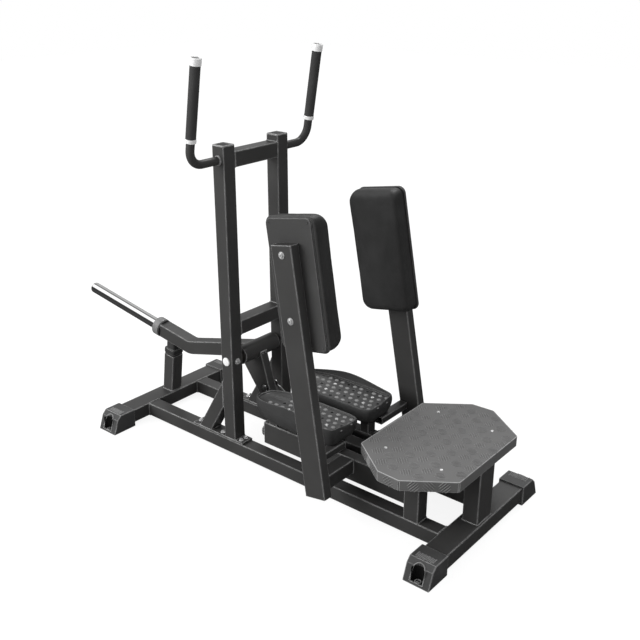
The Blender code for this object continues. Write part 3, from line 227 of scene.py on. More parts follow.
def hexBolt(place, axis, across, height, flange):
    # a hexagon head with a chamfered top on its washer face
    r = across / 2
    profile = ((0, flange), (height * 0.22, flange), (height * 0.30, r), (height * 0.86, r),
               (height, r * 0.97), (height, r * 0.93))
    return turned(place, axis, profile, 36, "caps", hexagon)


def buttonBolt(place, axis, radius, height, flange=0.0):
    # a domed head, sine in height and a power of cosine in radius, with a sunk socket and perhaps a flange
    turn = np.linspace(0, 1.15, 7)
    rise = height * (0.25 + 0.75 * np.sin(turn) / math.sin(1.15))
    dome = np.stack([rise, radius * (0.38 + 0.62 * np.cos(turn) ** 0.8)], -1)
    dome[0] = (height * 0.25, radius)
    start = [(0, radius)]
    if flange:
        start = [(0, flange), (height * 0.18, flange), (height * 0.24, radius * 1.02)]
    socket = [(height, radius * 0.36), (height * 0.93, radius * 0.33), (height * 0.35, radius * 0.33)]
    return turned(place, axis, np.concatenate([start, dome, socket]), 36, "caps", socketed)


# Finishes
socketKinds = {"Base": "Color", "Mottle": "Color", "Worn": "Color", "Color": "Color", "Normal": "Vector"}


def newGroup(name, inputs, outputs="Color Roughness Normal"):
    # an empty shader group with the sockets named in the two strings, and its inner input and output sockets
    group = bpy.data.node_groups.new(name, "ShaderNodeTree")
    for way, labels in (("INPUT", inputs), ("OUTPUT", outputs)):
        for label in labels.split():
            kind = "NodeSocket" + socketKinds.get(label, "Float")
            group.interface.new_socket(name=label, in_out=way, socket_type=kind)
    return group, group.nodes.new("NodeGroupInput").outputs, group.nodes.new("NodeGroupOutput").inputs


def addNode(tree, kind, links=None, **settings):
    # a node with its settings; links gives each input a value or the socket that feeds it
    node = tree.nodes.new("ShaderNode" + kind)
    for label, value in settings.items():
        setattr(node, label, value)
    for label, value in (links or {}).items():
        if isinstance(value, bpy.types.NodeSocket):
            tree.links.new(value, node.inputs[label])
        else:
            node.inputs[label].default_value = value
    return node


def blendColours(tree, share, first, second, mode="MIX"):
    links = {"Factor": share, 6: first, 7: second}
    return addNode(tree, "Mix", links, data_type="RGBA", blend_type=mode).outputs[2]


def mapped(tree, value, low, high, toLow=0.0, toHigh=1.0):
    links = {"Value": value, "From Min": low, "From Max": high, "To Min": toLow, "To Max": toHigh}
    return addNode(tree, "MapRange", links).outputs[0]


def maths(tree, operation, first, second=0.0):
    return addNode(tree, "Math", {0: first, 1: second}, operation=operation).outputs[0]


def dotted(tree, first, second):
    return addNode(tree, "VectorMath", {0: first, 1: second}, operation="DOT_PRODUCT").outputs["Value"]


def noise(tree, place, scale, detail=2.0, rough=0.5):
    links = {"Vector": place, "Scale": scale, "Detail": detail, "Roughness": rough}
    return addNode(tree, "TexNoise", links).outputs["Fac"]


def objectPlace(tree, scale=(1, 1, 1)):
    place = addNode(tree, "TexCoord").outputs["Object"]
    return addNode(tree, "Mapping", {"Vector": place, "Scale": scale}).outputs[0]


def buildEdgeGroup():
    # rounded edges: the bevel's normal, and a mask that is 1 where it leaves the face's own, broken by noise;
    # the coat and grain groups paint an edge highlight through it
    tree, given, put = newGroup("edgeRounding", "Radius", "Normal Edge")
    bevel = addNode(tree, "Bevel", {"Radius": given["Radius"]}, samples=6).outputs[0]
    same = dotted(tree, bevel, addNode(tree, "NewGeometry").outputs["Normal"])
    patch = mapped(tree, noise(tree, objectPlace(tree), 38.0, 3.0, 0.6), 0.34, 0.60, 0.55, 1.0)
    tree.links.new(bevel, put["Normal"])
    tree.links.new(maths(tree, "MULTIPLY", mapped(tree, same, 0.998, 0.955), patch), put["Edge"])
    return tree


edgeGroup = buildEdgeGroup()


def roundedEdges(tree, given):
    return addNode(tree, "Group", {"Radius": given["Radius"]}, node_tree=edgeGroup).outputs


def closeGroup(tree, given, put, tone, unevenness, height, distance, edge=None):
    # what each group puts out: its tone, the given roughness with its unevenness, and a bumped normal
    links = {"Height": height, "Distance": distance, "Strength": given["Depth"]}
    if edge is not None:
        links["Normal"] = edge["Normal"]
    bump = addNode(tree, "Bump", links).outputs[0]
    rough = maths(tree, "ADD", given["Roughness"], unevenness)
    for label, value in (("Color", tone), ("Roughness", rough), ("Normal", bump)):
        tree.links.new(value, put[label])
    return tree


def buildCoatGroup():
    # powder coat: fine orange peel, pale flecks, slow patches of tone, and lighter edges, a painted highlight
    # with some rubbed wear
    tree, given, put = newGroup("powderCoat", "Base Mottle Worn Grain Depth Roughness Radius")
    place = objectPlace(tree)
    edge = roundedEdges(tree, given)
    peel = noise(tree, place, given["Grain"], 3.0, 0.55)
    patches = noise(tree, place, 5.0, 3.0, 0.55)
    cells = addNode(tree, "TexVoronoi", {"Vector": place, "Scale": 620.0}).outputs["Distance"]
    flecks = maths(tree, "MULTIPLY", mapped(tree, cells, 0.16, 0.05), 0.55)
    shade = mapped(tree, patches, 0.3, 0.7, 0.90, 1.10)
    shade = addNode(tree, "CombineColor", {0: shade, 1: shade, 2: shade}).outputs[0]
    tone = blendColours(tree, flecks, given["Base"], given["Mottle"])
    tone = blendColours(tree, 1.0, tone, shade, "MULTIPLY")
    # edges blended towards the pale edge tone: a painted highlight, broken by noise like rubbed wear
    tone = blendColours(tree, maths(tree, "MULTIPLY", edge["Edge"], 0.85), tone, given["Worn"])
    unevenness = mapped(tree, patches, 0.3, 0.7, -0.04, 0.05)
    return closeGroup(tree, given, put, tone, unevenness, peel, 0.0002, edge)


def buildGrainGroup():
    # moulded rubber and plastic: coarse grains from a cell pattern, dust in patches, and lighter edges, a
    # painted highlight with some scuffing
    tree, given, put = newGroup("mouldedGrain", "Base Mottle Worn Grain Depth Roughness Radius")
    place = objectPlace(tree)
    edge = roundedEdges(tree, given)
    cells = addNode(tree, "TexVoronoi", {"Vector": place, "Scale": given["Grain"]}, feature="SMOOTH_F1")
    fine = maths(tree, "MULTIPLY", noise(tree, place, 2600.0, 2.0), 0.35)
    patches = noise(tree, place, 9.0, 4.0, 0.6)
    dusty = maths(tree, "MULTIPLY", mapped(tree, patches, 0.45, 0.72), 0.30)
    tone = blendColours(tree, dusty, given["Base"], given["Mottle"])
    # edges blended towards the edge tone: a painted highlight, broken by noise like scuffing
    tone = blendColours(tree, edge["Edge"], tone, given["Worn"])
    height = maths(tree, "ADD", cells.outputs["Distance"], fine)
    unevenness = mapped(tree, patches, 0.3, 0.7, -0.05, 0.06)
    return closeGroup(tree, given, put, tone, unevenness, height, 0.00025, edge)


def buildHideGroup():
    # upholstery leather: pebbles from cell edges, long soft creases, a slightly paler handled look, and
    # painted shade in the valleys between pebbles
    tree, given, put = newGroup("leatherHide", "Base Mottle Grain Depth Roughness")
    place = objectPlace(tree)
    links = {"Vector": place, "Scale": given["Grain"], "Randomness": 0.9}
    cells = addNode(tree, "TexVoronoi", links, feature="DISTANCE_TO_EDGE")
    pebble = mapped(tree, cells.outputs["Distance"], 0.0, 0.22)
    creases = noise(tree, objectPlace(tree, (1.0, 1.0, 0.35)), 55.0, 4.0, 0.6)
    patches = noise(tree, place, 14.0, 3.0)
    valleyShade = maths(tree, "MULTIPLY", maths(tree, "SUBTRACT", 1.0, pebble), 0.5)
    tone = blendColours(tree, mapped(tree, patches, 0.35, 0.75), given["Base"], given["Mottle"])
    # the valleys between pebbles are darkened: painted shade
    tone = blendColours(tree, valleyShade, tone, (0.006, 0.006, 0.006, 1))
    height = maths(tree, "ADD", pebble, maths(tree, "MULTIPLY", creases, 1.6))
    return closeGroup(tree, given, put, tone, mapped(tree, pebble, 0.0, 1.0, 0.10, -0.03), height, 0.0003)


def buildPolishGroup():
    # bright metal: hairlines stretched along one axis, faint smears, and a soft normal at its edges
    tree, given, put = newGroup("polishedMetal", "Base Mottle Grain Depth Roughness Radius")
    lines = noise(tree, objectPlace(tree, (0.06, 1.0, 1.0)), given["Grain"], 3.0)
    smears = noise(tree, objectPlace(tree), 26.0, 4.0, 0.6)
    tone = blendColours(tree, mapped(tree, smears, 0.45, 0.8), given["Base"], given["Mottle"])
    unevenness = mapped(tree, smears, 0.35, 0.75, -0.03, 0.08)
    return closeGroup(tree, given, put, tone, unevenness, lines, 0.0001, roundedEdges(tree, given))


groups = {"coat": buildCoatGroup(), "grain": buildGrainGroup(), "hide": buildHideGroup(),
          "polish": buildPolishGroup()}
# each finish: its group, the record's slot, base, mottle and edge tone (painted highlight with some wear),
# grain, depth, roughness, radius of the rounded edges, metallic and specular level; a slot's first finish also
# dresses its CAD nodes
finishTable = {
    "charcoalCoat": ("coat", "frame_paint", (0.038, 0.012), 0.060, 0.40, 850, 0.30, 0.36, 0.0042, 0, 0.45),
    "treadCoat": ("coat", "tread_sheet", (0.103, 0.005), 0.15, 0.50, 700, 0.35, 0.50, 0.0030, 0, 0.35),
    # the bars in the sheet's own paint made lighter: a painted highlight
    "treadBarLitCoat": ("coat", "tread_sheet", (0.150, 0.005), 0.20, 0.46, 700, 0.30, 0.42, 0.0008, 0, 0.40),
    # a pale finish for the fold's bead: a painted highlight
    "foldHighlight": ("coat", "tread_sheet", 0.340, 0.42, 0.50, 900, 0.20, 0.40, 0.0010, 0, 0.45),
    "blackRubber": ("grain", "black_rubber", 0.030, 0.075, 0.110, 1500, 0.45, 0.62, 0.0025, 0, 0.35),
    "footRubber": ("grain", "black_rubber", 0.042, 0.095, 0.340, 1100, 0.40, 0.50, 0.0040, 0, 0.40),
    "bumperRubber": ("grain", "black_rubber", 0.026, 0.070, 0.260, 1500, 0.35, 0.50, 0.0022, 0, 0.40),
    "gripRubber": ("grain", "black_rubber", 0.034, 0.060, 0.090, 760, 0.85, 0.68, 0.0015, 0, 0.30),
    "holeShade": ("grain", "black_rubber", 0.006, 0.010, 0.012, 1300, 0.30, 0.60, 0.0010, 0, 0.20),
    "plugRim": ("coat", "black_rubber", 0.120, 0.180, 0.600, 900, 0.20, 0.36, 0.0018, 0, 0.45),
    "boardPlastic": ("grain", "pad_board", (0.046, 0.006), 0.068, 0.20, 950, 0.30, 0.45, 0.0028, 0, 0.38),
    "pedalPlastic": ("grain", "pedal_plastic", 0.036, 0.060, 0.180, 1300, 0.35, 0.36, 0.0020, 0, 0.45),
    "studPlastic": ("grain", "pedal_plastic", 0.185, 0.250, 0.300, 1700, 0.25, 0.42, 0.0010, 0, 0.45),
    "blackLeather": ("hide", "pad_leather", 0.029, 0.038, 0, 520, 0.40, 0.42, 0, 0, 0.50),
    "pipingLeather": ("hide", "pad_leather", 0.030, 0.048, 0, 900, 0.25, 0.36, 0, 0, 0.55),
    "brightChrome": ("polish", "bright_chrome", 0.86, 0.76, 0, 420, 0.05, 0.09, 0.0008, 1.00, 0.5),
    "platedBolt": ("polish", "bright_chrome", 0.82, 0.66, 0, 900, 0.10, 0.24, 0.0010, 0.65, 0.5),
    "silverAluminium": ("polish", "silver_cap", 0.84, 0.74, 0, 900, 0.10, 0.40, 0.0010, 0.25, 0.5),
    "machinedSteel": ("polish", "plain_steel", 0.52, 0.40, 0, 1300, 0.20, 0.30, 0.0008, 1.00, 0.5),
    "sinteredBronze": ("polish", "bronze_bush", (0.34, 0.03), (0.24, 0.03), 0, 600, 0.15, 0.40, 0.0008, 1.0,
                       0.5),
    "collarGrey": ("coat", "plain_steel", 0.185, 0.26, 0.40, 900, 0.25, 0.36, 0.0020, 0.3, 0.45),
}


def tint(tone):
    # a linear grey, or a pair of a grey and how much its red is above and its blue below it
    level, warm = tone if isinstance(tone, tuple) else (tone, 0.0)
    return level * (1 + warm), level, level * (1 - warm), 1


def makeFinish(name, row):
    # a material: its group drives colour, roughness and normal; metallic and specular are set on the shader
    kind, _, base, mottle, wearAndHighlight, grain, depth, roughness, radius, metallic, specular = row
    finish = bpy.data.materials.new(name)
    finish.use_nodes = True
    tree = finish.node_tree
    surface = tree.nodes["Principled BSDF"]
    surface.inputs["Metallic"].default_value = metallic
    surface.inputs["Specular IOR Level"].default_value = specular
    source = addNode(tree, "Group", node_tree=groups[kind])
    values = {"Base": tint(base), "Mottle": tint(mottle), "Worn": tint(wearAndHighlight), "Grain": grain, "Depth": depth,
              "Roughness": roughness, "Radius": radius}
    for label, value in values.items():
        if label in source.inputs:
            source.inputs[label].default_value = value
    for label, output in (("Base Color", "Color"), ("Roughness", "Roughness"), ("Normal", "Normal")):
        tree.links.new(source.outputs[output], surface.inputs[label])
    return finish


finishes = {name: makeFinish(name, row) for name, row in finishTable.items()}
slotFinish = {}
for name, row in finishTable.items():
    slotFinish.setdefault(row[1], name)
for part in record["subparts"]:
    node = frame["nodes"][part["node"]]
    chosen = "footRubber" if "foot_cap" in node.name else slotFinish[part["material_slot"]]
    for place in node.material_slots:
        place.material = finishes[chosen]
print("finishes made:", len(finishes))


# Handles
handle = {
    "reach": 0.320, "height": 1.247, "tube": 0.016, "bend": 0.062, "tilt": 9.5, "gripStart": 0.104,
    "gripLength": 0.255, "gripRadius": 0.0192, "ringLength": 0.014, "ringRadius": 0.0208, "capLength": 0.027,
    "capRadius": 0.0212, "capTop": 0.004, "ribPitch": 0.0042, "ribDepth": 0.00035,
}


def buildHandles():
    h = handle
    tilt = math.radians(h["tilt"])
    up = np.array([math.sin(tilt), 0, math.cos(tilt)])
    tube, bore, ring, lip, r = h["tube"], h["tube"] + gap, h["ringRadius"], h["gripRadius"], h["capRadius"]
    gripLength, capLength, ringLength = h["gripLength"], h["capLength"] - gap, h["ringLength"]
    gripEnd = h["gripStart"] + gripLength
    footProfile = soften(((0, 0.0198), (0.0012, 0.0192), (0.0042, 0.0162), (0.0045, 0.0150)), 0.001)
    sleeveProfile = soften(((0, tube), (0, ring), (0.0022, ring), (0.0026, ring - 0.0006),
                            (0.0034, ring - 0.0006), (0.0038, ring), (ringLength, ring),
                            (ringLength, tube)), 0.0012)
    # grip: the radius swells by a small cosine of the length, which makes fine ribs between plain lips
    s = np.linspace(0.006, gripLength - 0.006, 440)
    rib = lip - h["ribDepth"] * (0.5 - 0.5 * np.cos(2 * pi * s / h["ribPitch"]))
    head = soften(((0, bore), (0, lip), (0.0055, lip)), 0.0012)
    tail = soften(((gripLength - 0.0055, lip), (gripLength, lip), (gripLength, bore)), 0.0012)
    gripProfile = np.concatenate([head, np.stack([s, rib], -1), tail])
    # end cap: a cup with a turned groove, a chamfer and a shallow dished top, and a disc in the dish
    top = capLength
    capProfile = soften(((top - h["capTop"], bore), (0, bore), (0, r), (0.0050, r), (0.0056, r - 0.0006),
                         (0.0066, r - 0.0006), (0.0072, r), (top - 0.0026, r), (top, r - 0.0026),
                         (top, r - 0.0050), (top - 0.0016, r - 0.0062), (top - 0.0022, 0.0040),
                         (top - 0.0022, 0.0006)), 0.0008, 3)
    discProfile = ((-0.0026, 0.0006), (-0.0026, 0.0140), (-0.0012, 0.0140), (-0.0010, 0.0010))
    discProfile = soften(discProfile, 0.0005)
    inner = layout["track"] + layout["tube"] / 2 + gap
    for side, sign in sides:
        start = np.array([layout["uprightX"], sign * inner, h["height"]])
        corner = np.array([layout["uprightX"], sign * h["reach"], h["height"]])
        end = corner + up * (gripEnd + h["capLength"] - h["capTop"] - gap)
        pipe = tubeAlong(bendPath(start, corner, end, h["bend"], 18), tube, np.cross(corner - start, up), 40)
        foot = turned(start, (0, sign, 0), footProfile, 40)
        putPiece(side + "HandleTube", [pipe, foot], "charcoalCoat", "frame", [side + "_handle"])
        sleeve = turned(corner + up * (h["gripStart"] - gap - ringLength), up, sleeveProfile, 48, "loop")
        screw = corner + up * (h["gripStart"] - 0.0065) + np.array([0.0, -ring * 0.995, 0.0])
        putPiece(side + "HandleSleeve", [sleeve, buttonBolt(screw, (0, -1, 0), 0.0032, 0.0012)],
                 "silverAluminium", "frame", [side + "_handle"])
        grip = turned(corner + up * h["gripStart"], up, gripProfile, 48, "loop")
        putPiece(side + "HandGrip", [grip], "gripRubber", "frame", [side + "_hand_grip"])
        seat = corner + up * (gripEnd + gap)
        putPiece(side + "HandleCap", [turned(seat, up, capProfile, 56)], "silverAluminium", "frame",
                 [side + "_handle_cap"])
        disc = turned(seat + up * capLength, up, discProfile, 40)
        putPiece(side + "CapDisc", [disc], "collarGrey", "frame")


buildHandles()
print("handles dressed")


# Small frame parts
topPlug = {
    "rim": ((0.0520, 0.0008, -0.028), (0.0530, 0.0015, -0.002), (0.0535, 0.0020, 0.0), (0.0590, 0.0048, 0.0),
            (0.0590, 0.0048, 0.0016), (0.0566, 0.0040, 0.0030), (0.0500, 0.0034, 0.0030),
            (0.0478, 0.0030, 0.0008), (0.0440, 0.0026, 0.0004), (0.0200, 0.0026, 0.0008)),
    "panel": ((0.0440, 0.0030, 0.0002), (0.0470, 0.0030, 0.0002), (0.0470, 0.0030, 0.0012),
              (0.0450, 0.0030, 0.0016), (0.0200, 0.0030, 0.0019)),
}
footCap = {
    "mouth": 0.0245, "centre": 0.374, "edge": 0.383, "bevelHeight": 0.063, "bevelStart": 0.360,
    "bead": 0.0024, "recessShade": (0.0243, 0.0236), "floor": 0.0102, "screw": 0.3665, "padPitch": 0.0068,
    "padStart": 0.3350, "padTop": 0.0812,
}


joints = {
    "plateBolts": ((-0.458, (0.0,)), (-0.3125, (-0.013, 0.013)), (-0.2045, (-0.013, 0.013))),
    "railFace": 0.1168, "railZ": 0.0445, "braceFoot": (-0.400, 0.0700), "braceHead": (-0.2826, 0.2779, 0.1165),
    "crossbarZ": (1.245, 0.570), "beamFace": 0.7671, "crossTube": 0.190, "postWidth": 0.0606,
    "stepLeg": (0.6495, 0.063), "frontLeg": (0.8172, 0.063, 0.098), "spineEnd": (0.7857, 0.154),
}


def buildTopPlugs():
    # a chamfered rim round a sunk, slightly domed panel, from the width, corner and height of each ring
    for side, sign in sides:
        middle = (layout["uprightX"], sign * layout["track"])
        solids = []
        for rows in topPlug.values():
            rings = [raised(roundedRectangle(width, width, corner, 5) + middle,
                            layout["uprightTop"] + gap + height) for width, corner, height in rows]
            solids.append(ringSolid(rings))
        putPiece(side + "TopPlug", solids[:1], "plugRim", "frame", [side + "_top_plug"], 25)
        putPiece(side + "PlugPanel", solids[1:], "blackRubber", "frame", (), 25)


def buildAxle():
    # a turned axle whose two polished heads are slightly domed, and the bolts that clamp it in the uprights
    x, z, y = layout["uprightX"], layout["pivotZ"], layout["track"]
    reach = y + layout["tube"] / 2 + gap
    half = [(reach, 0.0125), (reach, 0.0180), (reach + 0.0042, 0.0180), (reach + 0.0060, 0.0160),
            (reach + 0.0068, 0.0090), (reach + 0.0070, 0.0010)]
    half = soften(half, 0.0012, 4)
    profile = np.concatenate([half[::-1] * (-1, 1), half])
    putPiece("pivotAxle", [turned((x, 0, z), (0, 1, 0), profile, 48)], "silverAluminium", "frame",
             ["weight_pivot_axle"])
    heads = [hexBolt((x + way * (0.0300 + gap), sign * y, z), (way, 0, 0), 0.0190, 0.0080, 0.0135)
             for way in (1, -1) for _, sign in sides]
    putPiece("pivotClampBolts", heads, "platedBolt", "frame")


def buildFramePins():
    # flanged bolts through the long plates and into the rails, and the step's screws with their nuts
    bolts = []
    for x, offsets in joints["plateBolts"]:
        for _, sign in sides:
            for offset in offsets:
                place = (x, sign * layout["track"] + offset, layout["footTop"] + gap)
                bolts.append(hexBolt(place, (0, 0, 1), 0.013, 0.0070, 0.0098))
    putPiece("plateBolts", bolts, "platedBolt", "frame")
    places = [(x, sign * layout["stepScrewY"]) for x in layout["stepScrewX"] for _, sign in sides]
    top = layout["stepTop"]
    screws = [buttonBolt((x, y, top + gap), (0, 0, 1), 0.0060, 0.0030, 0.0066) for x, y in places]
    nuts = [hexBolt((x, y, top - 0.003 - gap), (0, 0, -1), 0.0120, 0.0070, 0.0085) for x, y in places]
    putPiece("stepScrews", screws + nuts, "platedBolt", "frame")


def buildFrameWelds():
    # a bead wherever a tube ends on another: plates, crossbars, beams, the step's legs and the post
    x, t, tube, base = layout["uprightX"], layout["track"], layout["tube"], layout["baseTop"]
    rail, railZ = joints["railFace"], joints["railZ"]
    footX, footDepth = joints["braceFoot"]
    headX, headZ, headHeight = joints["braceHead"]
    legX, legDepth = joints["stepLeg"]
    frontX, frontDepth, frontWidth = joints["frontLeg"]
    spineX, spineZ = joints["spineEnd"]
    beads = []
    for _, sign in sides:
        y = sign * t
        beads.append(weldLoop((x, y, layout["footTop"]), ex, ey, tube, tube))
        beads.append(weldLoop((footX, y, layout["footTop"]), ex, ey, footDepth, tube))
        beads.append(weldLoop((headX, y, headZ), ez, ey, headHeight, tube))
        for z in joints["crossbarZ"]:
            beads.append(weldLoop((x, sign * rail, z), ex, ez, tube, tube))
        for end in (-1, 1):
            beads.append(weldLoop((end * joints["beamFace"], y, railZ), ey, ez, tube, tube))
        beads.append(weldLoop((legX, y, base), ex, ey, legDepth, tube))
        beads.append(weldLoop((joints["crossTube"], sign * rail, railZ), ex, ez, tube, tube))
    beads.append(weldLoop((layout["postX"], 0, base), ex, ey, joints["postWidth"], tube))
    beads.append(weldLoop((frontX, 0, base), ex, ey, frontDepth, frontWidth))
    beads.append(weldLoop((spineX, 0, spineZ), ey, ez, tube, tube))
    putPiece("frameWelds", beads, "charcoalCoat", "frame")


def buildCapDetails():
    # a foot cap's bead round its arched recess, dark sheets inside the recess as painted shade, a ring with a
    # screw, and pads on the top
    cap = footCap
    r, centre, edge = cap["mouth"], cap["centre"], cap["edge"]
    t = np.linspace(0, pi, 25)
    y = np.concatenate([[0.3793, 0.3766], centre - r * np.sin(t), [0.3766, 0.3793]])
    x = np.concatenate([[r, r], r * np.cos(t), [-r, -r]])
    high, start = cap["bevelHeight"], cap["bevelStart"]
    lip = np.where(y > start, (edge - y) / (edge - start) * high, high + start - y)
    arcs = [np.column_stack([s * np.cos(a), centre - s * np.sin(a)])
            for s, a in zip(cap["recessShade"], (t, t[::-1]))]
    ring = ((0, 0.0080), (0, 0.0120), (0.0016, 0.0118), (0.0022, 0.0108), (0.0022, 0.0086), (0.0012, 0.0080))
    stud = ((0, 0.0029), (0.0010, 0.0028), (0.0015, 0.0018))
    solids, screws, pads, recessShade = [], [], [], []
    for end in (-1, 1):
        middle = end * layout["beamX"]
        for _, sign in sides:
            line = np.column_stack([x * 1.06 + middle, sign * (y + 0.0004), lip + 0.0012])
            solids.append(tubeAlong(line, cap["bead"], (0, sign * 0.94, 0.34), 10))
            # dark sheets on the recess's wall and floor: painted shade
            for shape, height in ((np.concatenate(arcs), 0.0523), (arcs[1][::-1], 0.0004)):
                flat = shape * (1, sign) + (middle, 0)
                recessShade.append(ringSolid([raised(flat, cap["floor"]), raised(flat, cap["floor"] + height)]))
            seat = (middle, sign * cap["screw"], 0.0098)
            solids.append(turned(seat, (0, 0, 1), ring, 32, "loop"))
            screws.append(buttonBolt(seat, (0, 0, 1), 0.0062, 0.0030))
            for i in range(-5, 6):
                for j in range(4):
                    row = cap["padStart"] - j * cap["padPitch"] - 0.0034 * (i % 2)
                    spot = (middle + i * cap["padPitch"], sign * row, cap["padTop"])
                    pads.append(turned(spot, (0, 0, 1), stud, 6))
    putPiece("capDetails", solids, "footRubber", "frame", (), 30)
    putPiece("capRecessShade", recessShade, "holeShade", "frame", (), 30)
    putPiece("capPads", pads, "studPlastic", "frame", (), 30)
    putPiece("capScrews", screws, "machinedSteel", "frame")


buildTopPlugs()
buildCapDetails()
buildAxle()
buildFramePins()
buildFrameWelds()
print("frame's small parts made")


# Weight lever
lever = {
    "drop": 14.6, "rise": 9.7, "knee": 0.4055, "afterKnee": 0.190, "sleeve": 0.037, "collar": 0.042,
    "collarLength": 0.042, "horn": 0.025, "hornLength": 0.467, "hornRound": 0.008, "washer": 0.006,
    "sleeveHalf": 0.100, "crankFall": 73.7, "crankFace": 0.0362,
}
bumper = {"tilt": 8.0, "height": 0.068, "corner": 0.0100, "underside": 0.0305}


def leverPoints():
    # pivot, knee and horn end in the middle plane, from the two slopes and the two lengths
    drop, rise = math.radians(lever["drop"]), math.radians(lever["rise"])
    pivot = np.array([layout["uprightX"], 0, layout["pivotZ"]])
    down = np.array([-math.cos(drop), 0, -math.sin(drop)])
    along = np.array([-math.cos(rise), 0, math.sin(rise)])
    knee = pivot + down * lever["knee"]
    return pivot, down, knee, along, knee + along * lever["afterKnee"]


def saddleWeld(pivot, run):
    # a bead where the box tube meets the sleeve: its outline pushed along the tube on to the round surface
    outline = roundedRectangle(layout["tube"], layout["tube"], 0.005, 4, 8)
    along = np.sqrt(np.maximum(lever["sleeve"] ** 2 - outline[:, 1:] ** 2, 1e-6)) + 0.0004
    return weldBead(pivot + outline[:, :1] * ey + outline[:, 1:] * np.cross(run, ey) + along * run, run, 0.0)


def buildLever():
    pivot, down, _, along, end = leverPoints()
    half, r = lever["sleeveHalf"], lever["sleeve"]
    profile = soften(((0, r - 0.005), (0, r), (2 * half, r), (2 * half, r - 0.005)), 0.0014)
    sleeve = turned(pivot - (0, half, 0), (0, 1, 0), profile, 72, "loop")
    putPiece("pivotSleeve", [sleeve], "charcoalCoat", "weight_lever", ["pivot_sleeve"])
    putPiece("leverWelds", [saddleWeld(pivot, down)], "charcoalCoat", "weight_lever")
    # two small screws at the top of the crank's front
    fall = math.radians(lever["crankFall"])
    fore = np.array([math.sin(fall), 0, math.cos(fall)])
    run = np.array([math.cos(fall), 0, -math.sin(fall)])
    face = pivot + fore * lever["crankFace"]
    screws = [buttonBolt(face + run * 0.022 + (0, y, 0), fore, 0.0026, 0.0012) for y in (-0.009, 0.009)]
    putPiece("crankScrews", screws, "platedBolt", "weight_lever")
    c, length = lever["collar"], lever["collarLength"]
    inner = lever["horn"] + gap
    thick, seat = lever["washer"], end + along * gap
    profile = soften(((0, inner), (0, c - 0.0012), (thick, c - 0.0012), (thick, inner)), 0.0015)
    washer = turned(seat, along, profile, 64, "loop")
    putPiece("hornWasher", [washer], "blackRubber", "weight_lever", ["horn_collar"])
    start = thick + gap
    profile = soften(((start, inner), (start, c), (length, c), (length, inner)), 0.0030, 6)
    collar = turned(seat, along, profile, 72, "loop")
    putPiece("hornCollar", [collar], "collarGrey", "weight_lever", ["horn_collar"])
    total = length + lever["hornLength"]
    h, edge = lever["horn"], lever["hornRound"]
    turn = np.linspace(0, pi / 2, 10)
    tip = np.stack([total - edge + edge * np.sin(turn), h - edge * (1 - np.cos(turn))], -1)
    dish = ((total, 0.0100), (total - 0.0016, 0.0070), (total - 0.0020, 0.0006))
    profile = np.concatenate([((0.0, 0.0180), (0.0, h), (0.02, h), (total * 0.5, h)), tip, dish])
    horn = turned(seat, along, profile, 72)
    putPiece("plateHorn", [horn], "brightChrome", "weight_lever", ["weight_horn"])


def buildBumper():
    # a square block on a wider lip; its top rings slide up the post's axis on to the lever's underside
    foot = np.array([layout["postX"], 0, layout["baseTop"] + gap])
    tilt, height = math.radians(bumper["tilt"]), bumper["height"]
    run = np.array([math.sin(tilt), 0, math.cos(tilt)])
    fore = np.cross(run, ey)
    _, _, knee, along, _ = leverPoints()
    under = np.array([-along[2], 0, along[0]])
    reach = float((knee + under * bumper["underside"] - foot) @ under / (run @ under))
    seat = foot + run * (reach - height)
    rows = ((0.0, 0.0600), (0.0100, 0.0604), (0.0112, 0.0630), (0.0125, 0.0640), (0.0290, 0.0640),
            (0.0312, 0.0630), (0.0324, 0.0600), (0.0328, 0.0516), (0.0350, 0.0500),
            (height - 0.0045, 0.0500), (height - 0.0034, 0.0490), (height - 0.0006, 0.0434),
            (height, 0.0410))
    rings = []
    for level, width in rows:
        outline = roundedRectangle(width, width, bumper["corner"] - (0.050 - min(width, 0.050)) / 2, 6)
        ring = seat + outline[:, :1] * ey + outline[:, 1:] * fore + level * run
        lift = (foot + run * reach - ring) @ under / (run @ under) - (height - level)
        rings.append(ring + run * lift[:, None] * (level > height / 2))
    putPiece("stopBumper", [ringSolid(rings)], "bumperRubber", "frame", ["stop_bumper"], 30)


buildLever()
buildBumper()
print("weight lever dressed")


# Step
step = {
    "sheet": 0.003, "skirt": 0.040, "fold": 0.005, "corner": 0.009, "seam": 0.0038, "bead": 0.0013,
    "outline": ((0.442, 0.200), (0.597, 0.314), (0.688, 0.318), (0.852, 0.200)), "screwSpace": 0.024,
    "cell": 0.0520, "barLength": 0.0420, "barWidth": 0.0036, "barHeight": 0.0026, "barSpacing": 0.0086,
    "edge": 0.017,
}


def stepCorners():
    low = [(x, -y) for x, y in step["outline"]]
    return np.array(low + [(x, y) for x, y in reversed(step["outline"])])


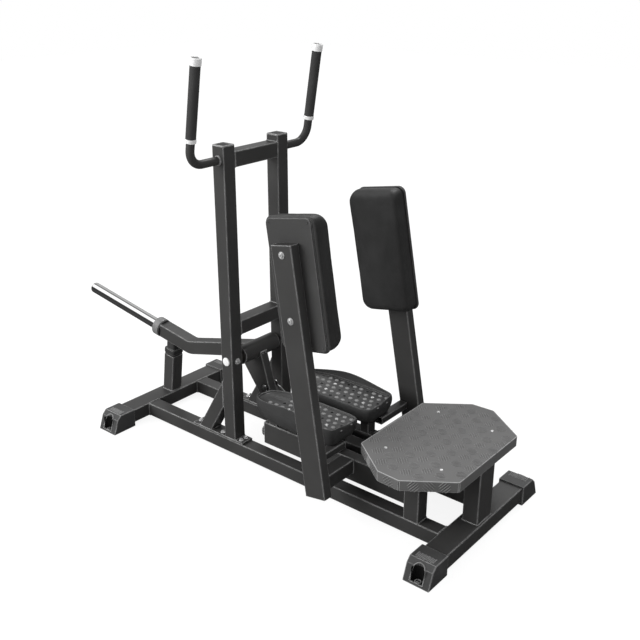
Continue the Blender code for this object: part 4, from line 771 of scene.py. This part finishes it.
def buildStepPlate():
    # a folded sheet: each outline point is an arc's centre plus a normal, so a ring with the inset d is the
    # centre + (r - d) * normal; a groove in each corner leaves the skirt's seam
    corners = stepCorners()
    ahead = unit(np.roll(corners, -1, 0) - corners)
    behind = np.roll(ahead, 1, 0)
    nAfter = np.stack([ahead[:, 1], -ahead[:, 0]], -1)
    nBefore = np.stack([behind[:, 1], -behind[:, 0]], -1)
    middle = unit(nAfter + nBefore)
    r = step["corner"]
    centres = corners - middle * (r / np.sum(middle * nAfter, -1))[:, None]
    t = np.linspace(0, 1, 9)[None, :, None]
    normals = unit(nBefore[:, None] * (1 - t) + nAfter[:, None] * t)
    centres = np.repeat(centres[:, None], 9, 1).reshape(-1, 2)
    groove = np.tile(np.array([0, 0, 0.6, 1.0, 1.0, 1.0, 0.6, 0, 0]), len(corners))
    normals = normals.reshape(-1, 2)

    def ring(inset, z, seam=0.0):
        return raised(centres + normals * (r - inset - groove * seam)[:, None], z)

    top, fold, sheet, seam = layout["stepTop"], step["fold"], step["sheet"], step["seam"]
    turn = np.linspace(0, pi / 2, 7)
    low = top - step["skirt"]
    rings = [ring(sheet, top - sheet), ring(sheet, low + 0.0006), ring(sheet - 0.0006, low),
             ring(0.0006, low, seam), ring(0.0, low + 0.0006, seam), ring(0.0, top - fold - 0.002, seam)]
    rings += [ring(fold * (1 - math.cos(a)), top - fold + fold * math.sin(a)) for a in turn]
    putPiece("stepPlate", [ringSolid(rings)], "treadCoat", "frame", ["step_plate"], 40)
    # a painted highlight: a fine pale bead where the top turns into the skirt, let into the plate's round
    line = evenLoop(ring(fold * 0.36, top - fold * 0.30), 0.004)
    bead = tubeAlong(line, step["bead"], (0, 0, 1), 8, "loop")
    putPiece("stepFoldHighlight", [bead], "foldHighlight", "frame", (), 60)


def barField(origin, u, v, n, spotU, spotV, flip):
    # five-bar tread: each cell has five lens-shaped bars side by side, along +45 or -45 degrees in turn
    k = np.arange(5) - 2
    lengths = step["barLength"] * np.array([0.62, 0.9, 1.0, 0.9, 0.62])
    t = np.linspace(-1, 1, 7)
    width = step["barWidth"] / 2 * np.sqrt(np.maximum(1 - t ** 2, 0.02))
    across = np.array([-1.0, -0.55, 0.0, 0.55, 1.0])
    rise = np.array([-0.35, 0.72, 1.0, 0.72, -0.35]) * step["barHeight"]
    barU = lengths[:, None, None] / 2 * t[None, :, None] + 0 * across
    barV = k[:, None, None] * step["barSpacing"] + width[None, :, None] * across
    barN = np.broadcast_to(rise * np.sqrt(np.maximum(1 - t ** 2, 0.04))[:, None], barU.shape)
    angle = np.where(flip, pi / 4, -pi / 4)[:, None, None, None]
    pu = spotU[:, None, None, None] + barU * np.cos(angle) - barV * np.sin(angle)
    pv = spotV[:, None, None, None] + barU * np.sin(angle) + barV * np.cos(angle)
    points = np.asarray(origin) + pu[..., None] * u + pv[..., None] * v + barN[..., None] * n
    # each bar's skin is a grid of 7 x 5 points, closed by its underside and its two ends
    r, c = np.meshgrid(np.arange(6), np.arange(4), indexing="ij")
    quads = np.stack([r * 5 + c, r * 5 + c + 1, (r + 1) * 5 + c + 1, (r + 1) * 5 + c], -1).reshape(-1, 4)
    under = np.concatenate([np.arange(0, 35, 5), np.arange(34, 0, -5)])
    ends = np.array([[4, 3, 2, 1, 0], [30, 31, 32, 33, 34]])
    start = np.arange(points.size // (3 * 35)) * 35
    quads = (start[:, None, None] + quads).reshape(-1, 4)
    caps = list(start[:, None] + under) + list((start[:, None, None] + ends).reshape(-1, 5))
    return points.reshape(-1, 3), quads, caps


def insideStep(x, y, margin):
    # how far a point lies inside every edge of the convex outline
    corners = stepCorners()
    ahead = unit(np.roll(corners, -1, 0) - corners)
    inward = np.stack([-ahead[:, 1], ahead[:, 0]], -1)
    depth = (x[:, None] - corners[:, 0]) * inward[:, 0] + (y[:, None] - corners[:, 1]) * inward[:, 1]
    return depth.min(1) > margin


def buildTreadBars():
    cell = step["cell"]
    i, j = np.meshgrid(np.arange(-1, 9), np.arange(-6, 7), indexing="ij")
    x = (step["outline"][0][0] + 0.5 * cell + i * cell).ravel()
    y = (j * cell).ravel()
    flip = ((i + j) % 2 == 0).ravel()
    keep = insideStep(x, y, step["edge"])   # the middle of a cell lies this far inside
    for screwX in layout["stepScrewX"]:
        keep &= np.hypot(x - screwX, np.abs(y) - layout["stepScrewY"]) > step["screwSpace"]
    fields = [barField((0, 0, layout["stepTop"]), ex, ey, ez, x[keep], y[keep], flip[keep])]
    corners = stepCorners()
    for a, b in zip(corners, np.roll(corners, -1, 0)):
        length = np.linalg.norm(b - a)
        if a[0] > 0.84 and b[0] > 0.84:
            continue
        u = np.append(unit(b - a), 0.0)
        n = np.array([u[1], -u[0], 0.0])
        count = int((length - 0.02) / cell)
        spots = (np.arange(count) - (count - 1) / 2) * cell
        middle = np.append((a + b) / 2, layout["stepTop"] - step["skirt"] / 2 - 0.002)
        fields.append(barField(middle, u, ez, n, spots, np.zeros(count), np.arange(count) % 2 == 0))
    putPiece("treadBars", fields, "treadBarLitCoat", "frame", (), 60)


buildStepPlate()
buildTreadBars()
print("step dressed")


# Thigh pads
arm = {
    "foot": (0.3861, 0.3359, 0.1283), "tilt": 10.0, "lean": 0.96, "width": 0.092, "depth": 0.042,
    "length": 0.937,
}
pad = {
    "top": 1.030, "length": 0.485, "width": 0.222, "offset": 0.006, "board": 0.018, "boardCorner": 0.028,
    "boardInset": 0.001, "thickness": 0.076, "box": 0.028, "corner": 0.032, "edge": 0.013, "end": 0.034,
    "shrink": 0.0022, "cap": 0.0030, "voxel": 0.0048, "piping": 0.0020, "welt": 0.0275,
    "bolts": (("lower", 0.266), ("upper", 0.034)),
}
clothValues = {
    "quality": 6, "mass": 0.3, "tension_stiffness": 90, "compression_stiffness": 90,
    "bending_stiffness": 8.0, "use_pressure": True, "uniform_pressure_force": 4.0,
    "vertex_group_mass": "held",
}


def armAxes(sign):
    # foot corner and the arm's own directions: up along it, forward across it, inward through it
    tilt, lean = math.radians(arm["tilt"]), math.radians(arm["lean"])
    upright = math.cos(lean)
    up = np.array([-math.sin(tilt) * upright, -sign * math.sin(lean), math.cos(tilt) * upright])
    forward = np.array([math.cos(tilt), 0, math.sin(tilt)])
    inward = np.cross(up, forward)
    inward = -inward if inward[1] * sign > 0 else inward
    x, y, z = arm["foot"]
    return np.array([x, sign * y, z]), up, forward, inward


def armPlace(sign, along, ahead, depth):
    # points counted from the middle of the arm's outer face at its foot
    corner, up, forward, inward = armAxes(sign)
    along, ahead, depth = np.broadcast_arrays(along, ahead, depth)
    across = (ahead[..., None] - arm["width"] / 2) * forward
    return corner + along[..., None] * up + across + depth[..., None] * inward


def padPlace(sign, across, along, depth):
    middle = pad["top"] - pad["length"] / 2
    return armPlace(sign, middle + along, pad["offset"] + across, arm["depth"] + depth)


def cushionStart():
    # rings of a rounded rectangle: a straight box, then a quarter sine up to the crowned face; the short
    # ends draw in by end * (1 - cos) over all of it, the long sides only by a round of radius edge
    width, length = pad["width"] - 2 * pad["shrink"], pad["length"] - 2 * pad["shrink"]
    box, edge, end = pad["box"], pad["edge"], pad["end"]
    face = pad["thickness"] - 0.004 - pad["shrink"]
    levels = [(0.0040, 0.0040, 0.0), (0.0015, 0.0015, 0.010), (0.0, 0.0, box - 0.006)]
    for a in np.linspace(0, pi / 2, 12):
        depth = box + (face - box) * math.sin(a)
        rise = max(0.0, depth - (face - edge))
        levels.append((edge - math.sqrt(max(edge ** 2 - rise ** 2, 0)), end * (1 - math.cos(a)), depth))
    levels += [(edge + s * (width / 2 - edge) * 0.96, end + s * (width / 2 - edge) * 0.96,
                face + 0.002 * math.sin(pi / 2 * s)) for s in (0.3, 0.6, 1.0)]
    rings = []
    for side, tip, depth in levels:
        across, along = width - 2 * side, length - 2 * tip
        corner = max(min(pad["corner"] - 0.5 * side, across / 2 - 0.0004), 0.0004)
        outline = roundedRectangle(across, along, corner, 8, 10)
        rings.append(raised(outline, depth))
    return ringSolid(rings)


def applied(work):
    # the object's mesh with its modifiers worked in
    shown = work.evaluated_get(bpy.context.evaluated_depsgraph_get())
    return bpy.data.meshes.new_from_object(shown)


def coordinates(mesh):
    out = np.empty(len(mesh.vertices) * 3, np.float32)
    mesh.vertices.foreach_get("co", out)
    return out.reshape(-1, 3).astype(float)


def swellCushion():
    # voxel remesh, then 20 frames of cloth under pressure with no gravity; the seam side is pinned, and the
    # movement is scaled as a whole so that no point moves further than the cap
    work = linked("cushionWork", closedMesh("cushionWork", [cushionStart()]))
    remesh = work.modifiers.new("remesh", "REMESH")
    remesh.mode = "VOXEL"
    remesh.voxel_size = pad["voxel"]
    mesh = applied(work)
    work.modifiers.clear()
    work.data = mesh
    before = coordinates(mesh)
    held = work.vertex_groups.new(name="held")
    held.add(np.nonzero(before[:, 2] < 0.006)[0].tolist(), 1.0, "REPLACE")
    cloth = work.modifiers.new("cloth", "CLOTH")
    for label, value in clothValues.items():
        setattr(cloth.settings, label, value)
    cloth.settings.effector_weights.gravity = 0.0
    cloth.collision_settings.use_collision = False
    for count in range(1, 21):
        bpy.context.scene.frame_set(count)
    after = coordinates(applied(work))
    bpy.context.scene.frame_set(1)
    work.modifiers.clear()
    move = after - before
    size = np.linalg.norm(move, axis=1, keepdims=True)
    move *= pad["cap"] / np.maximum(size.max(), pad["cap"])
    ease = np.clip(before[:, 2:] / 0.014, 0, 1)
    points = before + move * ease * ease * (3 - 2 * ease)
    print("cushion swelled by up to", round(float(size.max()) * 1000, 1), "mm, points:", len(points))
    mesh.vertices.foreach_set("co", points.astype(np.float32).ravel())
    smooth = work.modifiers.new("soft", "SUBSURF")
    smooth.levels = smooth.render_levels = 1
    fine = applied(work)
    bpy.data.objects.remove(work)
    return fine


def sewCushion(points):
    # a sewn welt runs round the sides: points near its depth sink inwards by a narrow bell
    distance = points[:, 2] - pad["welt"]
    sink = 0.0006 * np.exp(-(distance / 0.0026) ** 2)
    offset = points[:, :2] - np.clip(points[:, :2], [-0.06, -0.19], [0.06, 0.19])
    away = unit(raised(offset, 1e-9))
    outside = np.clip(np.linalg.norm(offset, axis=1) / 0.02, 0, 1)
    return points - away * (sink * outside)[:, None] * (1, 1, 0)


def boardRings(sign):
    # an inset back plate, a groove round it, and a shell edge rounded out to the full width: inset and depth
    width, length = pad["width"] - 2 * pad["boardInset"], pad["length"] - 2 * pad["boardInset"]
    thick = pad["board"]
    rows = ((0.0125, 0.0006), (0.0110, 0.0001), (0.0095, 0.0), (0.0086, 0.0004), (0.0080, 0.0014),
            (0.0080, 0.0058), (0.0086, 0.0070), (0.0092, 0.0074), (0.0062, 0.0080), (0.0030, 0.0084),
            (0.0010, 0.0096), (0.0002, 0.0112), (0.0, 0.0130), (0.0, thick - 0.0030),
            (0.0008, thick - 0.0010), (0.0022, thick))
    rings = []
    for inset, depth in rows:
        outline = roundedRectangle(width - 2 * inset, length - 2 * inset, pad["boardCorner"] - inset, 10)
        rings.append(padPlace(sign, outline[:, 0], outline[:, 1], gap + depth))
    return rings


def buildPads():
    fine = swellCushion()
    local = sewCushion(coordinates(fine))
    print("cushion box", np.round(local.min(0), 4).tolist(), np.round(local.max(0), 4).tolist())
    reach = np.array([pad["width"] / 2 + 0.002, pad["length"] / 2 + 0.002])
    local[:, :2] = np.clip(local[:, :2], -reach, reach)
    local[:, 2] = np.clip(local[:, 2], 0.0, pad["thickness"] + 0.003)
    faces = np.empty(len(fine.polygons) * 4, np.int32)
    fine.polygons.foreach_get("vertices", faces)
    faces = faces.reshape(-1, 4)
    bpy.data.meshes.remove(fine)
    seat = pad["board"] + 2 * gap
    seam = roundedRectangle(pad["width"] - 0.0080, pad["length"] - 0.0080, pad["corner"] - 0.004, 10, 12)
    seam = evenLoop(seam, 0.004)
    for side, sign in sides:
        body = side + "_leg"
        inward = armAxes(sign)[3]
        points = padPlace(sign, local[:, 0], local[:, 1], seat + local[:, 2])
        cushion = putPiece(side + "PadCushion", [(points, faces, [])], "blackLeather", body,
                           [side + "_pad_cushion"], 180)
        board = ringSolid(boardRings(sign))
        putPiece(side + "PadBoard", [board], "boardPlastic", body, [side + "_pad_board"])
        # piping: a cord along the seam between board and cushion
        loop = padPlace(sign, seam[:, 0], seam[:, 1], seat + 0.0022)
        cord = tubeAlong(loop, pad["piping"], inward, 12, "loop")
        putPiece(side + "PadPiping", [cord], "pipingLeather", body)
        screws = [buttonBolt(padPlace(sign, a, b, gap), -inward, 0.0034, 0.0013) for a in (-0.088, 0.088)
                  for b in (-0.218, 0.218)]
        putPiece(side + "BoardScrews", screws, "blackRubber", body)
        for name, drop in pad["bolts"]:
            place = armPlace(sign, arm["length"] - drop, 0.0, -gap)
            bolt = buttonBolt(place, -inward, 0.0098, 0.0070, 0.0130)
            putPiece(side + name.capitalize() + "PadBolt", [bolt], "platedBolt", body,
                     [side + "_" + name + "_pad_bolt"])


buildPads()
print("pads sewn")


# Pedals
pedal = {
    "x": 0.094, "y": 0.115, "halfLength": 0.216, "halfWidth": 0.0895, "bottom": 0.2485, "deck": 0.3065,
    "rim": 0.3125, "rise": 0.034, "ledge": 0.3138, "taper": 0.014, "sheet": 0.004, "pitch": 0.0319,
    "rowPitch": 0.0303, "studRadius": 0.0098, "studHeight": 0.0036, "hole": 0.0074, "holeDepth": 0.0032,
}


def pedalRing(inset, height, count=120):
    # a rounded box in polar form: reach = (|cos|^p + |sin|^p)^(-1/p), p = 9 at the square heel and 3.4 at
    # the round toe, narrower towards the toe; height is a number or a function of u and w
    turn = np.linspace(0, 2 * pi, count, endpoint=False)
    c, s = np.cos(turn), np.sin(turn)
    power = np.where(c > 0, 9.0, 3.4)
    reach = (np.abs(c) ** power + np.abs(s) ** power) ** (-1 / power)
    u, w = c * reach, s * reach
    halfWidth = pedal["halfWidth"] * (1 - 0.16 * np.maximum(0, -u) ** 2)
    z = height(u, w) if callable(height) else np.full(count, height)
    return np.column_stack([pedal["x"] + u * (pedal["halfLength"] - inset), w * (halfWidth - inset), z])


def wallTop(u, w):
    # the rim's height plus a rise that is eased in across the pedal and falls from toe to heel as a cosine
    outer = np.clip((w + 0.25) / 0.9, 0, 1)
    return pedal["rim"] + pedal["rise"] * outer * outer * (3 - 2 * outer) * (0.665 + 0.335 * np.cos(pi * u))


def ledgeTop(drop):
    # the ledge inside the wall, level all round but never above the wall itself
    return lambda u, w: np.minimum(pedal["ledge"] - drop, wallTop(u, w) - 0.0010 - drop)


def wallShare(share):
    # a height part of the way from the deck up to the wall's top
    return lambda u, w: pedal["deck"] + (wallTop(u, w) - pedal["deck"]) * share


def pedalSites():
    # the tread's lattice: rows a pitch apart, odd rows shifted by half a cell, some sites a hole or a screw
    studs, holes, screws = [], [], []
    for row, first, last in ((-2, 1, 9), (-1, 1, 10), (0, 0, 9), (1, -1, 10), (2, 0, 9)):
        for k in range(first, last + 1):
            place = (k * pedal["pitch"] + (-0.016 if row % 2 else 0.001), row * pedal["rowPitch"])
            if row == 0 and k % 3 == 0 or abs(row) == 2 and k in (3, 6) or row % 2 and k == 5:
                holes.append(place)
            elif row % 2 and k in (2, 8):
                screws.append(place)
            else:
                studs.append(place)
    return np.array(studs), np.array(holes), np.array(screws)


def pedalRings():
    # from the deck's underside down inside the skirt, up outside it, over the wall and on to the deck
    deck, low, taper, sheet = pedal["deck"], pedal["bottom"], pedal["taper"], pedal["sheet"]
    under = deck - sheet
    rows = (
        (taper + sheet + 0.02, under), (sheet + 0.008, under), (sheet + 0.006, under - 0.002),
        (taper + sheet, low + 0.0008), (taper + sheet - 0.0010, low), (taper + 0.0010, low),
        (taper, low + 0.0010), (taper * 0.72, low + 0.012), (taper * 0.40, low + 0.024),
        (taper * 0.16, low + 0.036), (0.0006, low + 0.047), (0.0, deck - 0.002), (0.0004, wallShare(0.25)),
        (0.0014, wallShare(0.60)), (0.0026, wallShare(0.90)), (0.0034, wallShare(0.985)), (0.0044, wallTop),
        (0.0054, wallShare(0.975)), (0.0060, ledgeTop(-0.0006)), (0.0064, ledgeTop(0.0)),
        (0.0088, ledgeTop(0.0)), (0.0096, ledgeTop(0.0006)), (0.0104, ledgeTop(0.0030)),
        (0.0116, deck + 0.0008), (0.0135, deck),
    )
    return [pedalRing(inset, height) for inset, height in rows]


def pedalShell(holes, circle):
    # the rings and a deck filled with triangles round its holes, each of which is a shallow cup
    rings = pedalRings()
    points, quads, _ = ringSolid(rings, "open")
    around, count, total = len(circle), len(rings[0]), len(holes)
    base = len(points)
    last = base - count
    loops = [points[last:, :2]] + [(hole + circle * pedal["hole"])[::-1] for hole in holes]
    triangles = np.array(tessellate_polygon([[Vector((x, y, 0)) for x, y in loop] for loop in loops]))
    rows = ((1.0, 0.0), (0.97, -0.0006), (0.95, -pedal["holeDepth"]))
    cups = [raised(hole + (circle * pedal["hole"] * scale)[::-1], pedal["deck"] + drop)
            for hole in holes for scale, drop in rows]
    starts = base + np.arange(total)[:, None] * 3 * around
    order = np.concatenate([np.arange(last, base), (starts + np.arange(around)).ravel()])
    cupQuads = (starts[:, None] + gridQuads(3, around)).reshape(-1, 4)
    caps = [np.arange(count)[::-1]] + list(order[triangles]) + list(starts + 2 * around + np.arange(around))
    return np.concatenate([points, *cups]), np.concatenate([quads, cupQuads]), caps


def buildPedals():
    p, deck = pedal, pedal["deck"]
    studs, holes, screws = pedalSites()
    angle = np.linspace(0, 2 * pi, 18, endpoint=False)
    circle = np.column_stack([np.cos(angle), np.sin(angle)])
    shell = pedalShell(holes, circle)
    # studs: low domes, height = cosine-shaped over the radius, longer along the pedal than across it
    s = np.linspace(0, 1, 6)
    profile = np.column_stack([p["studHeight"] * np.cos(s * pi / 2) ** 0.4, np.maximum(s, 0.04)])[::-1]
    profile[0, 0] = -0.0004
    oval = (p["studRadius"] * 1.06, p["studRadius"] * 0.92)
    dome = np.stack([raised(circle[::2] * r * oval, h) for h, r in profile])
    for side, sign in sides:
        body = side + "_leg"
        flip = np.array([1, sign, 1])
        move = np.array([0, sign * p["y"], 0])
        putPiece(side + "Pedal", [(shell[0] * flip + move, shell[1], shell[2])], "pedalPlastic", body,
                 [side + "_pedal"], 38)
        # a dark disc at the bottom of each hole: painted shade
        discs = [turned((x, sign * (y + p["y"]), deck - p["holeDepth"] + 0.0002), (0, 0, 1),
                        ((0, p["hole"] * 0.93), (0.0022, p["hole"] * 0.93)), 18) for x, y in holes]
        putPiece(side + "PedalHoleShade", discs, "holeShade", body, (), 30)
        domes = [ringSolid(dome * flip + (x, sign * (y + p["y"]), deck)) for x, y in studs]
        putPiece(side + "PedalStuds", domes, "studPlastic", body, (), 60)
        heads = [buttonBolt((x, sign * (y + p["y"]), deck), (0, 0, 1), 0.0060, 0.0030, 0.0072)
                 for x, y in screws]
        putPiece(side + "PedalScrews", heads, "platedBolt", body)


buildPedals()
print("pedals made")


# Leg welds
def buildLegDetails():
    # beads round the cross tube's two ends and round the toe stand's foot
    tube, top = layout["tube"], 0.137 + 0.097 / 2   # the leg beam's axis and its half height
    z = top - tube / 2
    lean = math.radians(arm["lean"])
    far = arm["foot"][1] - arm["depth"] / math.cos(lean) - (z - arm["foot"][2]) * math.tan(lean)
    for side, sign in sides:
        down = np.array([0, -sign * math.sin(lean), math.cos(lean)])
        beads = [weldLoop((0.320, sign * 0.1203, z), ex, ez, tube, tube),
                 weldLoop((0.320, sign * (far - 0.0004), z), ex, down, tube, tube),
                 weldLoop((-0.0615, sign * 0.095, top), ex, ey, 0.040, 0.049)]
        putPiece(side + "LegWelds", beads, "charcoalCoat", side + "_leg")


buildLegDetails()
print("legs dressed")


# Camera, light, floor
studio = {
    "eye": (2.33201, -2.43428, 1.94598), "azimuth": 39.5429, "elevation": 22.3559, "lens": 50.0,
    "top": 1.5, "topAngle": 32.0, "topFrom": (-0.12, 0.55, 1.0),
    "side": 255.0, "sideSize": 3.0, "sidePlace": (-1.9, -3.4, 2.2), "sideAim": (0.1, 0.0, 0.70),
    "fill": 0.46, "right": 0.68, "floor": 0.35, "box": (-0.604, -0.368, 0.707),
    "back": (-0.45, 0.75, 0.48), "rightFrom": (0.93, -0.10, 0.35), "floorSize": 14.0, "floorGloss": 0.03,
    "floorSeen": 0.15, "floorGlow": 0.89,
}


def buildCamera():
    lens = bpy.data.cameras.new("viewCamera")
    lens.lens = studio["lens"]
    lens.sensor_width = 36.0
    lens.clip_end = 60.0
    camera = linked("viewCamera", lens)
    camera.location = studio["eye"]
    camera.rotation_euler = (math.radians(90 - studio["elevation"]), 0, math.radians(studio["azimuth"]))
    bpy.context.scene.camera = camera


def placeLamp(name, kind, energy, direction):
    lamp = bpy.data.lights.new(name, kind)
    lamp.energy = energy
    piece = linked(name, lamp)
    piece.rotation_euler = Vector(direction).to_track_quat("Z", "Y").to_euler()
    return piece


def buildLight():
    # a wide sun from above and a square lamp high on the near side
    top = placeLamp("topLamp", "SUN", studio["top"], studio["topFrom"])
    top.data.angle = math.radians(studio["topAngle"])
    fromAim = np.subtract(studio["sidePlace"], studio["sideAim"])
    side = placeLamp("sideLamp", "AREA", studio["side"], fromAim)
    side.location = studio["sidePlace"]
    side.data.size = studio["sideSize"]
    side.visible_glossy = False
    # world: white to the camera, a plain level to the object that grows towards its right, and to gloss a
    # dim room with one white box high on the left and a grey wall behind the machine
    world = bpy.data.worlds.new("studioWorld")
    bpy.context.scene.world = world
    world.use_nodes = True
    tree = world.node_tree
    background = tree.nodes["Background"]
    ray = addNode(tree, "LightPath")
    direction = addNode(tree, "TexCoord").outputs["Generated"]
    axes = {"box": studio["box"], "back": studio["back"], "right": studio["rightFrom"]}
    facing = {label: dotted(tree, direction, axis) for label, axis in axes.items()}
    gloss = maths(tree, "ADD", mapped(tree, facing["box"], 0.90, 0.94, 0.05, 1.30),
                  mapped(tree, facing["back"], 0.72, 0.94, 0.0, 0.48))
    shiny = maths(tree, "MAXIMUM", ray.outputs["Is Glossy Ray"], ray.outputs["Is Transmission Ray"])
    plain = mapped(tree, facing["right"], 0.2, 1.0, studio["fill"], studio["fill"] + studio["right"])
    level = maths(tree, "ADD", plain, maths(tree, "MULTIPLY", shiny, maths(tree, "SUBTRACT", gloss, plain)))
    strength = maths(tree, "MAXIMUM", level, ray.outputs["Is Camera Ray"])
    background.inputs["Color"].default_value = (1, 1, 1, 1)
    tree.links.new(strength, background.inputs["Strength"])


def buildFloor():
    size = studio["floorSize"]
    mesh = bpy.data.meshes.new("studioFloor")
    corners = [(-size, -size, 0), (size, -size, 0), (size, size, 0), (-size, size, 0)]
    mesh.from_pydata(corners, [], [(0, 1, 2, 3)])
    floor = linked("studioFloor", mesh)
    finish = bpy.data.materials.new("paleFloor")
    finish.use_nodes = True
    tree = finish.node_tree
    surface = tree.nodes["Principled BSDF"]
    surface.inputs["Roughness"].default_value = 0.9
    surface.inputs["Specular IOR Level"].default_value = 0.0
    ray = addNode(tree, "LightPath")
    seen = ray.outputs["Is Camera Ray"]
    dim = maths(tree, "MAXIMUM", ray.outputs["Is Glossy Ray"], ray.outputs["Is Transmission Ray"])
    plain = blendColours(tree, dim, tint(studio["floor"]), tint(studio["floorGloss"]))
    tone = blendColours(tree, seen, plain, tint(studio["floorSeen"]))
    tree.links.new(tone, surface.inputs["Base Color"])
    surface.inputs["Emission Color"].default_value = (1, 1, 1, 1)
    tree.links.new(maths(tree, "MULTIPLY", seen, studio["floorGlow"]), surface.inputs["Emission Strength"])
    mesh.materials.append(finish)


buildCamera()
buildLight()
buildFloor()
bpy.context.scene.view_settings.view_transform = "Standard"
print("studio set")
